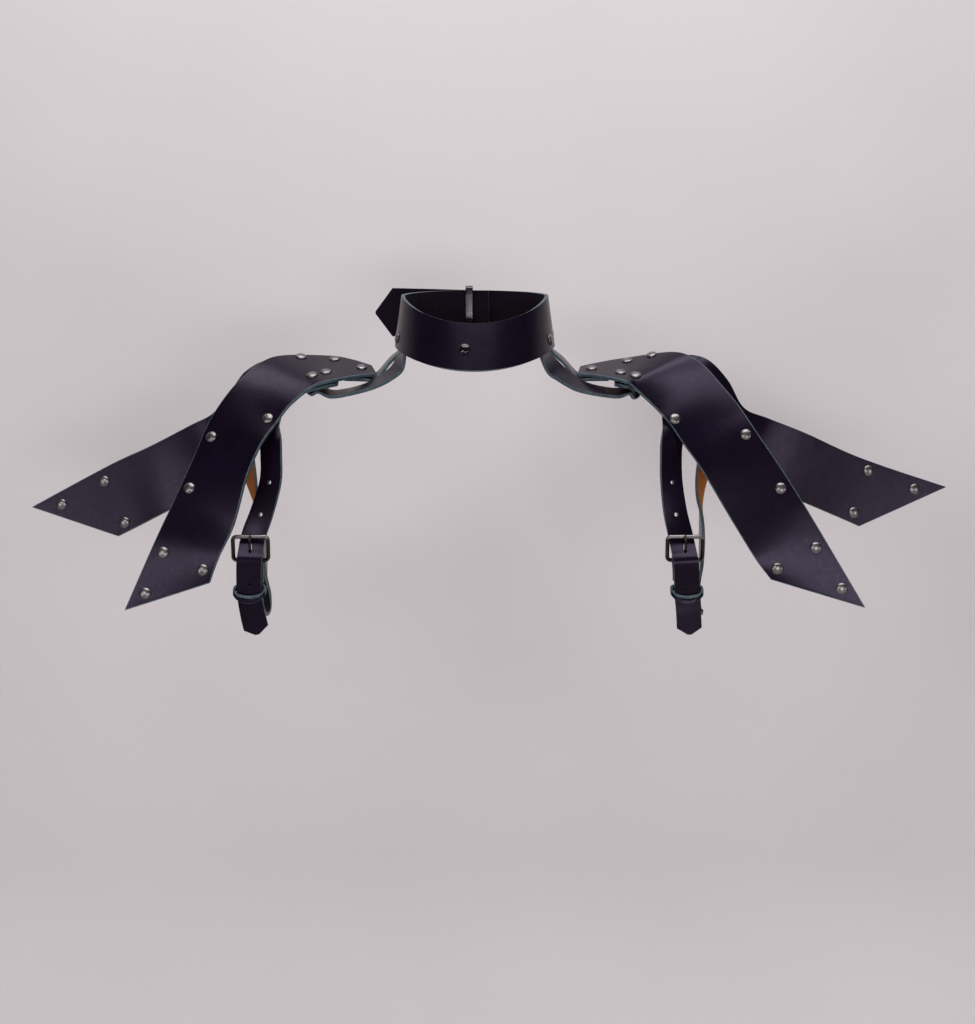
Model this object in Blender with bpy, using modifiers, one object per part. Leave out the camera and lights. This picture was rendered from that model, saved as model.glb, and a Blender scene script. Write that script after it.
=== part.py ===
"""A leather shoulder harness: collar, two riveted wings and two buckled armhole straps.

Tables and sizes are in millimetres and become metres in MM. The front faces -Y and +Z is up. The
origin is in the middle of the collar, at the height of its lower edge at the sides. Every strap is a
strip of leather between two edges, worn to the shape that the tables give, grain side outward.
"""

import math

import bmesh
import bpy
from mathutils import Matrix, Vector
from mathutils.bvhtree import BVHTree

MM = 0.001

# Driving sizes
BLADE_THICKNESS = 3.0
STRAP_THICKNESS = 2.6
STRAP_WIDTH = 19.0
COLLAR_THICKNESS = 2.8
SEAT_GAP = 0.3

CAP_RADIUS = 4.5
CAP_HEIGHT = 1.9
BACK_CAP_HEIGHT = 1.3
POST_RADIUS = 1.8
HOLE_RADIUS = 2.2
RIVET_SIDES = 8

COLLAR_TOP_RADIUS = 58.0
COLLAR_LOWER_SIDE = 63.2
COLLAR_LOWER_FRONT = 74.0
COLLAR_LOWER_BACK = 58.0
COLLAR_TOP_SIDE_Z = 39.5
COLLAR_FRONT_DIP = 21.8
COLLAR_LOWER_DIP = 17.4
COLLAR_BACK_RISE = 4.0
COLLAR_DIP_POWER = 1.45
COLLAR_TURN = -7.0

PUNCH_RADIUS = 1.6
BUCKLE_WIRE = 1.6
PRONG_WIRE = 1.1

# The front layer of each wing, a row per section from the root's tip to the point of the blade.
# Columns: outer edge x, y, z, then inner edge x, y, z.
FRONT_BLADE = {
    "right": (
        (83.8, 14.1, -17.0, 80.9, -4.1, -21.9),
        (102.5, 21.2, -13.4, 99.8, -11.2, -23.6),
        (123.0, 28.3, -10.4, 118.0, -20.3, -27.3),
        (159.9, 12.5, -5.5, 124.5, -17.5, -32.5),
        (178.7, 0.0, -14.0, 140.8, -20.5, -48.1),
        (193.1, -11.5, -30.1, 151.2, -25.5, -60.2),
        (205.9, -22.0, -46.7, 161.7, -30.0, -75.8),
        (218.2, -33.5, -66.5, 175.0, -36.5, -95.1),
        (239.4, -44.5, -99.7, 194.4, -44.0, -128.9),
        (257.0, -53.0, -129.5, 213.5, -52.5, -160.8),
        (296.0, -63.5, -197.5, 225.8, -53.5, -177.6),
    ),
    "left": (
        (-82.1, 13.9, -16.3, -77.3, -3.9, -21.9),
        (-100.1, 20.9, -11.2, -96.3, -10.9, -24.0),
        (-119.0, 28.1, -8.8, -115.9, -20.1, -27.5),
        (-158.8, 15.4, -9.0, -126.8, -19.4, -31.6),
        (-178.4, 3.7, -20.4, -143.4, -25.7, -45.3),
        (-193.3, -6.8, -36.1, -154.4, -31.2, -60.4),
        (-207.8, -14.9, -59.1, -165.0, -39.1, -76.1),
        (-219.5, -23.9, -88.0, -175.1, -45.1, -100.9),
        (-232.2, -35.1, -119.0, -183.8, -49.5, -135.7),
        (-244.6, -46.8, -148.4, -194.6, -55.2, -160.3),
        (-266.0, -57.0, -200.2, -201.1, -57.5, -179.5),
    ),
}

# The second layer of each wing, below the first one at the root. The same columns.
REAR_BLADE = {
    "right": (
        (112.0, 25.6, -15.4, 109.4, -14.3, -29.4),
        (124.5, 29.3, -13.7, 119.0, -18.2, -31.3),
        (161.0, 16.5, -8.2, 125.5, -12.8, -34.8),
        (183.0, 6.0, -10.6, 150.0, -9.0, -41.0),
        (200.0, 2.0, -27.4, 171.0, -12.0, -48.0),
        (212.5, 0.0, -49.2, 187.5, -14.0, -88.0),
        (231.3, -1.0, -57.6, 209.7, -10.0, -104.2),
        (262.5, 7.0, -70.0, 240.5, -0.6, -116.2),
        (309.1, 16.0, -90.9, 286.3, 8.3, -135.8),
        (379.9, 30.0, -115.1, 306.2, 12.4, -144.7),
    ),
    "left": (
        (-107.5, 25.0, -13.8, -107.0, -14.6, -29.3),
        (-121.0, 29.1, -12.2, -117.5, -18.2, -31.4),
        (-160.5, 19.5, -11.0, -127.5, -15.4, -34.4),
        (-181.2, 10.0, -19.6, -150.0, -13.0, -41.0),
        (-193.6, 4.5, -36.0, -166.0, -12.0, -50.0),
        (-206.9, 0.0, -53.5, -184.5, -14.0, -92.0),
        (-225.3, 0.5, -63.4, -206.8, -11.0, -110.1),
        (-258.7, 7.2, -80.7, -239.4, 0.1, -129.3),
        (-291.4, 13.5, -95.9, -265.1, 4.9, -142.9),
        (-356.6, 25.8, -130.9, -283.6, 8.8, -152.3),
    ),
}

# The strap from the collar down to the root, below the collar's edge. Upper edge, then lower edge.
SHOULDER_STRAP = {
    "right": (
        (66.9, -13.5, -13.5, 57.9, -28.5, -20.6),
        (72.6, -12.0, -18.9, 64.8, -28.0, -25.3),
        (79.4, -10.8, -23.9, 72.6, -27.4, -30.1),
        (87.6, -9.4, -28.8, 82.2, -26.8, -34.2),
        (101.0, -7.0, -32.3, 99.2, -25.2, -37.5),
        (113.2, -5.0, -33.2, 112.0, -23.1, -38.8),
    ),
    "left": (
        (-64.8, -11.8, -15.0, -57.1, -28.8, -18.3),
        (-71.2, -11.5, -21.0, -64.6, -29.0, -24.6),
        (-79.0, -10.8, -26.1, -73.4, -28.6, -29.4),
        (-88.0, -9.6, -30.4, -83.3, -27.9, -33.0),
        (-101.0, -7.0, -33.8, -99.2, -25.7, -37.0),
        (-113.6, -5.0, -34.6, -112.2, -23.6, -38.8),
    ),
}

# The middle line of the strap from the collar straight out to the root's tip, the same on both sides:
# x, y, z, and how much its back edge stands above the middle.
HANGER_LINE = (
    (62.0, 11.5, -3.8, 1.0),
    (66.5, 10.2, -7.8, 1.5),
    (70.5, 9.0, -11.2, 1.7),
    (74.5, 7.6, -15.8, 2.0),
    (78.5, 6.0, -21.0, 2.6),
    (82.5, 4.2, -24.6, 2.9),
)

# The line of the armhole strap's face, below the blade: x on the right and left side, y, z, the turn of
# its width about Z in degrees, width. Its tip is one more row, joined straight.
ARMHOLE_LINE = (
    (153.9, 159.2, -25.6, -73.5, 26, 19.0),
    (153.0, 158.5, -27.5, -84.0, 30, 19.0),
    (152.9, 158.4, -31.0, -104.0, 28, 19.0),
    (155.2, 164.2, -34.3, -127.0, 18, 19.0),
    (158.4, 169.6, -36.4, -143.0, 8, 19.0),
    (159.8, 171.2, -38.2, -150.0, 3, 19.0),
    (161.0, 172.0, -43.0, -157.5, 0, 19.0),
    (162.0, 172.6, -46.8, -164.0, 0, 19.0),
    (162.8, 173.0, -45.6, -174.0, 0, 19.0),
    (163.4, 173.0, -41.8, -190.0, 0, 19.0),
    (164.6, 170.4, -41.4, -206.0, 0, 19.0),
    (165.1, 167.9, -41.2, -216.5, 0, 19.0),
)
ARMHOLE_TIP = (165.3, 166.8, -41.2, -221.6, 0, 3.0)

# The line of the buckle strap's outer face, from its folded end round the bar, under the arm and up
# behind: x from the buckle's middle on the right and left side, y, z, and the turn of its width about
# Z in degrees.
BUCKLE_LINE = (
    (0.6, 0.2, -32.6, -181.0, 0),
    (0.4, 0.1, -32.0, -173.0, 0),
    (0.0, 0.0, -31.0, -166.0, 0),
    (0.0, 0.0, -32.4, -161.8, 0),
    (0.0, 0.0, -35.5, -160.4, 0),
    (0.0, 0.0, -38.7, -161.8, 0),
    (0.0, 0.0, -40.0, -166.0, 0),
    (0.6, 0.1, -39.6, -173.0, 0),
    (1.2, -0.1, -38.7, -183.0, 0),
    (1.8, -0.2, -38.3, -195.0, 0),
    (3.8, 1.0, -34.6, -205.2, 4),
    (5.6, 1.9, -21.0, -210.2, 14),
    (8.4, 2.8, -3.0, -209.5, 36),
    (12.4, 4.2, 12.5, -203.0, 64),
    (16.8, 5.0, 25.0, -190.0, 82),
    (19.4, 3.6, 33.0, -173.0, 89),
    (20.2, 0.8, 36.5, -154.0, 91),
    (19.6, -2.4, 36.0, -137.0, 86),
    (18.6, -5.2, 32.0, -120.0, 70),
    (20.2, -8.0, 24.0, -103.0, 55),
    (23.4, -11.0, 12.5, -86.0, 36),
    (26.6, -14.2, 1.5, -69.0, 20),
)

# Rivets by their place in the front view: x, z. The root's are by their place from above: x, y.
ROOT_RIVETS = {
    "right": ((92.5, 6.0), (122.0, 21.0), (141.0, 19.0), (114.9, -3.5), (126.5, -8.5)),
    "left": ((-89.7, 6.0), (-112.5, 21.0), (-139.0, 19.0), (-117.3, -3.5), (-128.0, -8.5)),
}
FRONT_RIVETS = {
    "right": ((209.6, -68.4), (234.5, -108.7), (259.8, -153.0), (230.7, -169.0), (278.5, -183.4)),
    "left": ((-205.1, -71.0), (-220.3, -109.8), (-237.9, -157.3), (-206.7, -169.8), (-250.5, -187.6)),
}
REAR_RIVETS = {
    "right": ((314.2, -100.9), (352.7, -116.4), (301.6, -133.8)),
    "left": ((-295.6, -108.9), (-331.0, -128.0), (-278.1, -141.2)),
}
ARMHOLE_RIVET = {"right": (155.8, -56.9), "left": (-160.5, -56.3)}
BUCKLE_STRAP_RIVET = {"right": (190.0, -46.0), "left": (-188.0, -52.0)}

PUNCH_HEIGHTS = (-105.5, -130.0, -183.0)
PRONG_SLOT = (4.4, 10.4, -156.6)
BUCKLE_MIDDLE = {"right": 162.0, "left": -172.4}
SHOULDER_ANGLE = {"right": 71.0, "left": -76.0}
SHOULDER_SEAT = {"right": 1.6, "left": 0.8}
SHOULDER_BACK = 2.0
HANGER_FORWARD = 4.0
HANGER_REACH = {"right": 1.0, "left": 0.96}
BAR_Y = -35.5
BAR_Z = -165.0
TOP_BAR_Y = -40.2
TOP_BAR_Z = -146.5
FRAME_HALF_WIDTH = 13.5
KEEPER_Z = -190.5
KEEPER_HEIGHT = 5.0
KEEPER_LEAN = 0.38
KEEPER_WALL = 2.0
CLASP_X = -5.0

SIDES = {"right": 1, "left": -1}


def clear_scene():
    for obj in list(bpy.data.objects):
        bpy.data.objects.remove(obj, do_unlink=True)


def new_collection(name, hidden=False):
    collection = bpy.data.collections.new(name)
    bpy.context.scene.collection.children.link(collection)
    collection.hide_render = hidden
    return collection


def new_material(name, colour, roughness, metallic):
    material = bpy.data.materials.new(name)
    material.use_nodes = True
    shader = material.node_tree.nodes["Principled BSDF"]
    shader.inputs["Base Color"].default_value = (*colour, 1.0)
    shader.inputs["Roughness"].default_value = roughness
    shader.inputs["Metallic"].default_value = metallic
    return material


clear_scene()
PARTS = new_collection("shoulder_harness")
CUTTERS = new_collection("cutters", hidden=True)
LEATHER = new_material("black_leather", (0.012, 0.011, 0.015), 0.42, 0.0)
METAL = new_material("gunmetal", (0.18, 0.17, 0.17), 0.28, 1.0)


def add_object(name, mesh, material):
    obj = bpy.data.objects.new(name, mesh)
    obj.data.materials.append(material)
    PARTS.objects.link(obj)
    return obj


def through(points, steps):
    """A smooth line through points, with steps pieces between each two of them."""
    line = []
    count = len(points)
    for index in range(count - 1):
        before = points[max(index - 1, 0)]
        start, end = points[index], points[index + 1]
        after = points[min(index + 2, count - 1)]
        for step in range(steps):
            t = step / steps
            pull = (end - before) * (t - 2 * t * t + t**3) + (after - start) * (t**3 - t * t)
            line.append(start * (1 - 3 * t * t + 2 * t**3) + end * (3 * t * t - 2 * t**3) + pull * 0.5)
    line.append(points[-1])
    return line


def strip(name, edges, thickness, grain, steps=2, across=1, tip=()):
    """A strip of leather between two edges, with its grain on the side that grain tells: 1 or -1.

    The pair in tip, if any, is joined straight to the last pair, for a pointed end.
    """
    first = through([pair[0] for pair in edges], steps) + [pair[0] for pair in tip]
    second = through([pair[1] for pair in edges], steps) + [pair[1] for pair in tip]
    shape = bmesh.new()
    grid = []
    for near, far in zip(first, second):
        row = [shape.verts.new(near.lerp(far, column / across) * MM) for column in range(across + 1)]
        grid.append(row)
    for row, following in zip(grid, grid[1:]):
        for column in range(across):
            corners = [row[column], row[column + 1], following[column + 1], following[column]]
            shape.faces.new(corners if grain > 0 else corners[::-1])
    mesh = bpy.data.meshes.new(name)
    shape.normal_update()
    shape.to_mesh(mesh)
    shape.free()
    obj = add_object(name, mesh, LEATHER)
    solid = obj.modifiers.new("thickness", "SOLIDIFY")
    solid.thickness = thickness * MM
    solid.offset = -1.0
    solid.use_even_offset = True
    obj.modifiers.new("facets", "TRIANGULATE")
    return obj


def surface_of(obj):
    """The object's evaluated surface, in millimetres, for finding places on it."""
    graph = bpy.context.evaluated_depsgraph_get()
    shape = bmesh.new()
    shape.from_mesh(obj.evaluated_get(graph).to_mesh())
    bmesh.ops.scale(shape, vec=(1 / MM, 1 / MM, 1 / MM), verts=shape.verts)
    shape.normal_update()
    tree = BVHTree.FromBMesh(shape)
    shape.free()
    return tree


def edge_pairs(rows):
    return [(Vector(row[:3]), Vector(row[3:])) for row in rows]


def line_pairs(centres, widths, turns):
    """Edge pairs of a strap along centres, each as wide as its width and turned about Z."""
    pairs = []
    for index, centre in enumerate(centres):
        ahead = centres[min(index + 1, len(centres) - 1)]
        behind = centres[max(index - 1, 0)]
        along = (ahead - behind).normalized()
        turn = math.radians(turns[index])
        side = Vector((math.cos(turn), math.sin(turn), 0.0))
        side = (side - along * side.dot(along)).normalized() * widths[index] / 2
        pairs.append((centre + side, centre - side))
    return pairs


# Rivets and holes
CUTS = {}


def cut_later(obj, location, axis, radius, depth, squash=1.0):
    """Notes a round hole through obj, along axis, that drill_holes makes."""
    CUTS.setdefault(obj.name, []).append((location, axis, radius, depth, squash))


def drill_holes():
    for name, cuts in CUTS.items():
        shape = bmesh.new()
        for location, axis, radius, depth, squash in cuts:
            place = Matrix.Translation(location * MM) @ axis.to_track_quat("Z", "X").to_matrix().to_4x4()
            place = place @ Matrix.Diagonal((squash, 1.0, 1.0, 1.0))
            bmesh.ops.create_cone(
                shape, cap_ends=True, segments=RIVET_SIDES, depth=depth * MM,
                radius1=radius * MM, radius2=radius * MM, matrix=place)
        mesh = bpy.data.meshes.new(name + "_holes")
        shape.to_mesh(mesh)
        shape.free()
        cutter = bpy.data.objects.new(name + "_holes", mesh)
        cutter.hide_render = True
        cutter.display_type = "WIRE"
        CUTTERS.objects.link(cutter)
        hole = bpy.data.objects[name].modifiers.new("holes", "BOOLEAN")
        hole.operation = "DIFFERENCE"
        hole.solver = "EXACT"
        hole.object = cutter


def turned(name, profile, material):
    """A body turned about Z from a profile of (radius, height) points, top to bottom."""
    mesh = bpy.data.meshes.new(name)
    points = [(radius * MM, 0.0, height * MM) for radius, height in profile]
    mesh.from_pydata(points, [(i, i + 1) for i in range(len(points) - 1)], [])
    obj = add_object(name, mesh, material)
    screw = obj.modifiers.new("turn", "SCREW")
    screw.axis = "Z"
    screw.steps = RIVET_SIDES
    screw.render_steps = RIVET_SIDES
    screw.use_merge_vertices = True
    screw.merge_threshold = 0.00001
    screw.use_smooth_shade = True
    return obj


def rivet(name, place, normal, grip, pierced):
    """A domed rivet whose cap stands on place, with a post through grip and a cap behind."""
    under = -grip - SEAT_GAP
    profile = (
        (0.0, SEAT_GAP + CAP_HEIGHT),
        (CAP_RADIUS * 0.72, SEAT_GAP + CAP_HEIGHT * 0.68),
        (CAP_RADIUS, SEAT_GAP),
        (POST_RADIUS, SEAT_GAP),
        (POST_RADIUS, under),
        (CAP_RADIUS, under),
        (CAP_RADIUS * 0.7, under - BACK_CAP_HEIGHT),
        (0.0, under - BACK_CAP_HEIGHT),
    )
    obj = turned(name, profile, METAL)
    obj.location = place * MM
    obj.rotation_mode = "QUATERNION"
    obj.rotation_quaternion = normal.to_track_quat("Z", "X")
    middle = place - normal * grip / 2
    for leather in pierced:
        cut_later(leather, middle, normal, HOLE_RADIUS, grip + 6.0)


def rivet_through(name, start, look, pierced):
    """A rivet where the line of sight from start meets the first leather, down through the others."""
    first = surface_of(pierced[0])
    last = surface_of(pierced[-1])
    place, normal, _, _ = first.ray_cast(start, look)
    side = normal.orthogonal().normalized() * CAP_RADIUS
    lift, drop = 0.0, 0.0
    for step in range(17):
        rim = place + Matrix.Rotation(math.radians(22.5 * step), 3, normal) @ side * min(step, 1)
        high, _, _, _ = first.ray_cast(rim + normal * 12.0, -normal)
        low, _, _, _ = last.ray_cast(rim - normal * 25.0, normal)
        lift = max(lift, (high - place).dot(normal) if high else 0.0)
        drop = max(drop, (place - low).dot(normal) if low else 0.0)
    rivet(name, place + normal * lift, normal, drop + lift, pierced)


# Collar
def collar_point(angle, height, inward=0.0):
    """A point on the collar: angle from the front toward +X in degrees, height 0 at its lower edge."""
    turn = math.radians(angle)
    forward = math.cos(turn)
    dip = max(forward, 0.0) ** COLLAR_DIP_POWER
    rise = max(-forward, 0.0) * COLLAR_BACK_RISE
    depth = COLLAR_LOWER_FRONT if forward > 0 else COLLAR_LOWER_BACK
    top_z = COLLAR_TOP_SIDE_Z - COLLAR_FRONT_DIP * dip + rise
    top = Vector((COLLAR_TOP_RADIUS * math.sin(turn), -COLLAR_TOP_RADIUS * forward, top_z))
    low = Vector((COLLAR_LOWER_SIDE * math.sin(turn), -depth * forward, rise - COLLAR_LOWER_DIP * dip))
    outward = Vector((math.sin(turn), -forward, 0.0))
    return low.lerp(top, height) - outward * inward


def collar_edges():
    """The collar's edges, from its covered end at the back, round the front, to its free point."""
    pairs = []
    for angle in range(-191, 150, 15):
        pairs.append((collar_point(angle, 1.0), collar_point(angle, 0.0)))
    for angle, lift in ((163, 2.6), (178, 3.6)):
        pairs.append((collar_point(angle, 1.0, -lift), collar_point(angle, 0.0, -lift)))
    for x, y, top, low in ((-14, 61.9, 44.0, 4.0), (-34, 62.6, 44.6, 4.6), (-51, 63.3, 45.0, 5.0),
                           (-68, 64.0, 45.4, 5.6), (-82, 64.6, 26.2, 24.2)):
        pairs.append((Vector((x, y, top)), Vector((x, y, low))))
    return pairs


def make_collar():
    edges = collar_edges()
    return strip("collar", edges[:-1], COLLAR_THICKNESS, grain=1, steps=2, tip=edges[-1:])


def make_clasp():
    """The plain closed loop round both layers at the back, with its long sides upright."""
    inner_height, inner_depth, bar = 41.8, 9.6, 2.4
    centre = Vector((CLASP_X, 58.0, 23.9))
    clasp = bar_loop("collar_clasp", inner_height, inner_depth, bar, 6.0, METAL)
    clasp.location = centre * MM
    clasp.rotation_euler = (0.0, math.radians(90.0), 0.0)
    return clasp


def bar_loop(name, length, depth, wall, width, material):
    """A closed rectangular loop of flat stock: its hole is length by depth, its stock wall thick."""
    curve = bpy.data.curves.new(name, "CURVE")
    curve.dimensions = "2D"
    curve.fill_mode = "BOTH"
    curve.extrude = width / 2 * MM
    for grow in (0.0, wall):
        spline = curve.splines.new("POLY")
        x, y = length / 2 + grow, depth / 2 + grow
        cut = min(wall, depth / 3) if grow else 0.6
        corners = ((x, y - cut), (x - cut, y), (cut - x, y), (-x, y - cut),
                   (-x, cut - y), (cut - x, -y), (x - cut, -y), (x, cut - y))
        spline.points.add(len(corners) - 1)
        for point, (px, py) in zip(spline.points, corners):
            point.co = (px * MM, py * MM, 0.0, 1.0)
        spline.use_cyclic_u = True
    return curve_to_mesh(name, curve, material)


def curve_to_mesh(name, curve, material):
    """The curve as a closed mesh object, its caps welded."""
    holder = bpy.data.objects.new(name + "_curve", curve)
    bpy.context.scene.collection.objects.link(holder)
    graph = bpy.context.evaluated_depsgraph_get()
    mesh = bpy.data.meshes.new_from_object(holder.evaluated_get(graph))
    bpy.data.objects.remove(holder)
    shape = bmesh.new()
    shape.from_mesh(mesh)
    bmesh.ops.remove_doubles(shape, verts=shape.verts, dist=0.00001)
    shape.to_mesh(mesh)
    shape.free()
    mesh.materials.clear()
    return add_object(name, mesh, material)


def wire(name, points, radius, closed):
    curve = bpy.data.curves.new(name, "CURVE")
    curve.dimensions = "3D"
    curve.bevel_depth = radius * MM
    curve.bevel_resolution = 2
    curve.use_fill_caps = not closed
    spline = curve.splines.new("POLY")
    spline.points.add(len(points) - 1)
    for point, place in zip(spline.points, points):
        point.co = (*(place * MM), 1.0)
    spline.use_cyclic_u = closed
    return curve_to_mesh(name, curve, METAL)


# Wings
def make_wing(side):
    sign = SIDES[side]
    front = strip("front_blade_" + side, edge_pairs(FRONT_BLADE[side]), BLADE_THICKNESS, sign, 2, 3)
    rear = strip("rear_blade_" + side, edge_pairs(REAR_BLADE[side]), BLADE_THICKNESS, sign, 2, 3)
    return front, rear


def seat_below(surface, start, look, along, width, gap, ends):
    """Edge pairs of a strap that follows a surface, gap off it, at each distance in ends along it."""
    place, normal, _, _ = surface.ray_cast(start, look)
    along = (along - normal * along.dot(normal)).normalized()
    side = normal.cross(along).normalized()
    pairs = []
    for end in ends:
        aim = place + along * end
        spot, facing, _, _ = surface.ray_cast(aim + normal * 20.0, -normal)
        if spot is None or facing.dot(normal) < 0.7:
            spot, facing = aim, normal
        half = (side - facing * side.dot(facing)).normalized() * width / 2
        rise = 0.0
        for share in (-0.95, -0.5, 0.5, 0.95):
            start = spot + half * share
            high, facet, _, _ = surface.ray_cast(start + facing * 6.0, -facing, 9.0)
            if high and facet.dot(facing) > 0.6:
                rise = max(rise, (high - start).dot(facing))
        centre = spot + facing * (gap + rise)
        pairs.append((centre + half, centre - half))
    return pairs


def narrower(pair, share):
    """An edge pair around the same middle, with that share of its width."""
    middle = (pair[0] + pair[1]) / 2
    return middle.lerp(pair[0], share), middle.lerp(pair[1], share)


def ordered(pairs, reference):
    """The pairs with each one's first edge on the same side as the reference vector."""
    return [pair if (pair[0] - pair[1]).dot(reference) > 0 else pair[::-1] for pair in pairs]


def make_shoulder_strap(side, collar, rear):
    sign = SIDES[side]
    angle = SHOULDER_ANGLE[side]
    inward = COLLAR_THICKNESS + SEAT_GAP + 0.5
    pairs = []
    for height in (0.42, 0.2, 0.0, -0.1):
        upper = collar_point(angle + 9.0 * sign, height, inward)
        lower = collar_point(angle - 9.0 * sign, height, inward)
        pairs.append((upper, lower))
    pairs += edge_pairs(SHOULDER_STRAP[side])
    x, y = ROOT_RIVETS[side][4]
    along = Vector((sign, -0.15, 0.0))
    flat = seat_below(surface_of(rear), Vector((x, y + SHOULDER_BACK, -80.0)), Vector((0, 0, 1)), along,
                      STRAP_WIDTH, SHOULDER_SEAT[side], (-4.0, 2.0, 6.0))
    flat[-1] = narrower(flat[-1], 0.5)
    pairs += ordered(flat, Vector((0, 1, 0)))
    return strip("shoulder_strap_" + side, pairs, STRAP_THICKNESS, sign, 2)


def make_hanger_strap(side, front_blade):
    sign = SIDES[side]
    angle = 103.0 * sign
    inward = COLLAR_THICKNESS + SEAT_GAP + 0.5
    pairs = []
    for height in (0.45, 0.22, 0.0):
        back = collar_point(angle + 9.0 * sign, height, inward)
        front = collar_point(angle - 9.0 * sign, height, inward)
        pairs.append((back, front))
    for x, y, z, lean in HANGER_LINE:
        along = x * sign * HANGER_REACH[side]
        back = Vector((along, y + 9.0, z + lean))
        front = Vector((along, y - 9.0, z - lean))
        pairs.append((back, front))
    x, y = ROOT_RIVETS[side][0]
    start = Vector((x, y - HANGER_FORWARD, -80.0))
    flat = seat_below(surface_of(front_blade), start, Vector((0, 0, 1)), Vector((sign, 0, 0)),
                      STRAP_WIDTH, 0.6, (-5.0, 4.0, 13.0))
    pairs += ordered(flat, Vector((0, 1, 0)))
    return strip("hanger_strap_" + side, pairs, STRAP_THICKNESS, sign, 2)


def make_armhole_strap(side, front):
    sign = SIDES[side]
    x, z = ARMHOLE_RIVET[side]
    flat = seat_below(surface_of(front), Vector((x, 60.0, z)), Vector((0, -1, 0)), Vector((0, 0, -1)),
                      STRAP_WIDTH, 0.6, (-6.5, 0.0, 6.5))
    column = 0 if side == "right" else 1
    rows = ARMHOLE_LINE + (ARMHOLE_TIP,)
    centres = [Vector((row[column] * sign, row[2], row[3])) for row in rows]
    hanging = line_pairs(centres, [row[5] for row in rows], [row[4] * sign for row in rows])
    pairs = ordered(flat, Vector((1, 0, 0))) + hanging[:-1]
    strap = strip("armhole_strap_" + side, pairs, STRAP_THICKNESS, 1, 2, tip=hanging[-1:])
    surface = surface_of(strap)
    for height in PUNCH_HEIGHTS:
        middle = strap_middle(side, height)
        place, normal, _, _ = surface.ray_cast(Vector((middle, -90.0, height)), Vector((0, 1, 0)))
        cut_later(strap, place, normal, PUNCH_RADIUS, 12.0)
    width, length, height = PRONG_SLOT
    middle = Vector((BUCKLE_MIDDLE[side], -38.5, height))
    cut_later(strap, middle, Vector((0, -1, 0)), width / 2, 16.0, length / width)
    return strap


def strap_middle(side, height):
    """The armhole strap's x at a height, between the rows of its line."""
    column = 0 if side == "right" else 1
    for above, below in zip(ARMHOLE_LINE, ARMHOLE_LINE[1:]):
        if above[3] >= height >= below[3]:
            share = (above[3] - height) / (above[3] - below[3])
            return SIDES[side] * (above[column] + share * (below[column] - above[column]))
    return SIDES[side] * ARMHOLE_LINE[0][column]


def make_buckle_strap(side, rear):
    sign = SIDES[side]
    middle = BUCKLE_MIDDLE[side]
    column = 0 if side == "right" else 1
    centres = [Vector((middle + row[column], row[2], row[3])) for row in BUCKLE_LINE]
    turns = [row[4] * sign for row in BUCKLE_LINE]
    pairs = line_pairs(centres, [STRAP_WIDTH] * len(centres), turns)
    x, z = BUCKLE_STRAP_RIVET[side]
    flat = seat_below(surface_of(rear), Vector((x, 60.0, z)), Vector((0, -1, 0)), Vector((0, -0.4, 1)),
                      STRAP_WIDTH, STRAP_THICKNESS + 0.5, (-9.0, 0.0, 8.0))
    pairs += ordered(flat, Vector((1, 0, 0)))
    strap = strip("buckle_strap_" + side, pairs, STRAP_THICKNESS, 1, 2)
    slot = Vector((middle, BAR_Y, BAR_Z + 2.0))
    cut_later(strap, slot, Vector((0, -1, 0)), 2.6, 16.0, 2.6)
    return strap


def make_buckle(side):
    middle = BUCKLE_MIDDLE[side]
    half = FRAME_HALF_WIDTH
    corner = 2.5
    lean = (TOP_BAR_Y - BAR_Y) / (TOP_BAR_Z - BAR_Z)
    outline = []
    for cx, cz, first in ((half - corner, TOP_BAR_Z - corner, 0), (corner - half, TOP_BAR_Z - corner, 90),
                          (corner - half, BAR_Z + corner, 180), (half - corner, BAR_Z + corner, 270)):
        for step in range(4):
            turn = math.radians(first + step * 30)
            z = cz + corner * math.sin(turn)
            x = middle + cx + corner * math.cos(turn)
            outline.append(Vector((x, BAR_Y + lean * (z - BAR_Z), z)))
    frame = wire("buckle_frame_" + side, outline, BUCKLE_WIRE, closed=True)
    reach = BUCKLE_WIRE + SEAT_GAP + PRONG_WIRE
    hook = []
    for angle in range(-60, 121, 30):
        turn = math.radians(angle)
        hook.append(Vector((middle, BAR_Y + reach * math.cos(turn), BAR_Z + reach * math.sin(turn))))
    tip_y = TOP_BAR_Y - BUCKLE_WIRE - SEAT_GAP - PRONG_WIRE
    hook.append(Vector((middle, tip_y + 1.2, BAR_Z + 9.0)))
    hook.append(Vector((middle, tip_y, TOP_BAR_Z - 3.0)))
    hook.append(Vector((middle, tip_y, TOP_BAR_Z + 1.6)))
    prong = wire("buckle_prong_" + side, hook, PRONG_WIRE, closed=False)
    return frame, prong


def make_keeper(side):
    keeper = bar_loop("keeper_" + side, STRAP_WIDTH + 2.4, 7.2, KEEPER_WALL, KEEPER_HEIGHT, LEATHER)
    for corner in keeper.data.vertices:
        corner.co.z += KEEPER_LEAN * corner.co.y
    middle = strap_middle(side, KEEPER_Z)
    keeper.location = Vector((middle, -38.6, KEEPER_Z)) * MM
    return keeper


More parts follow.
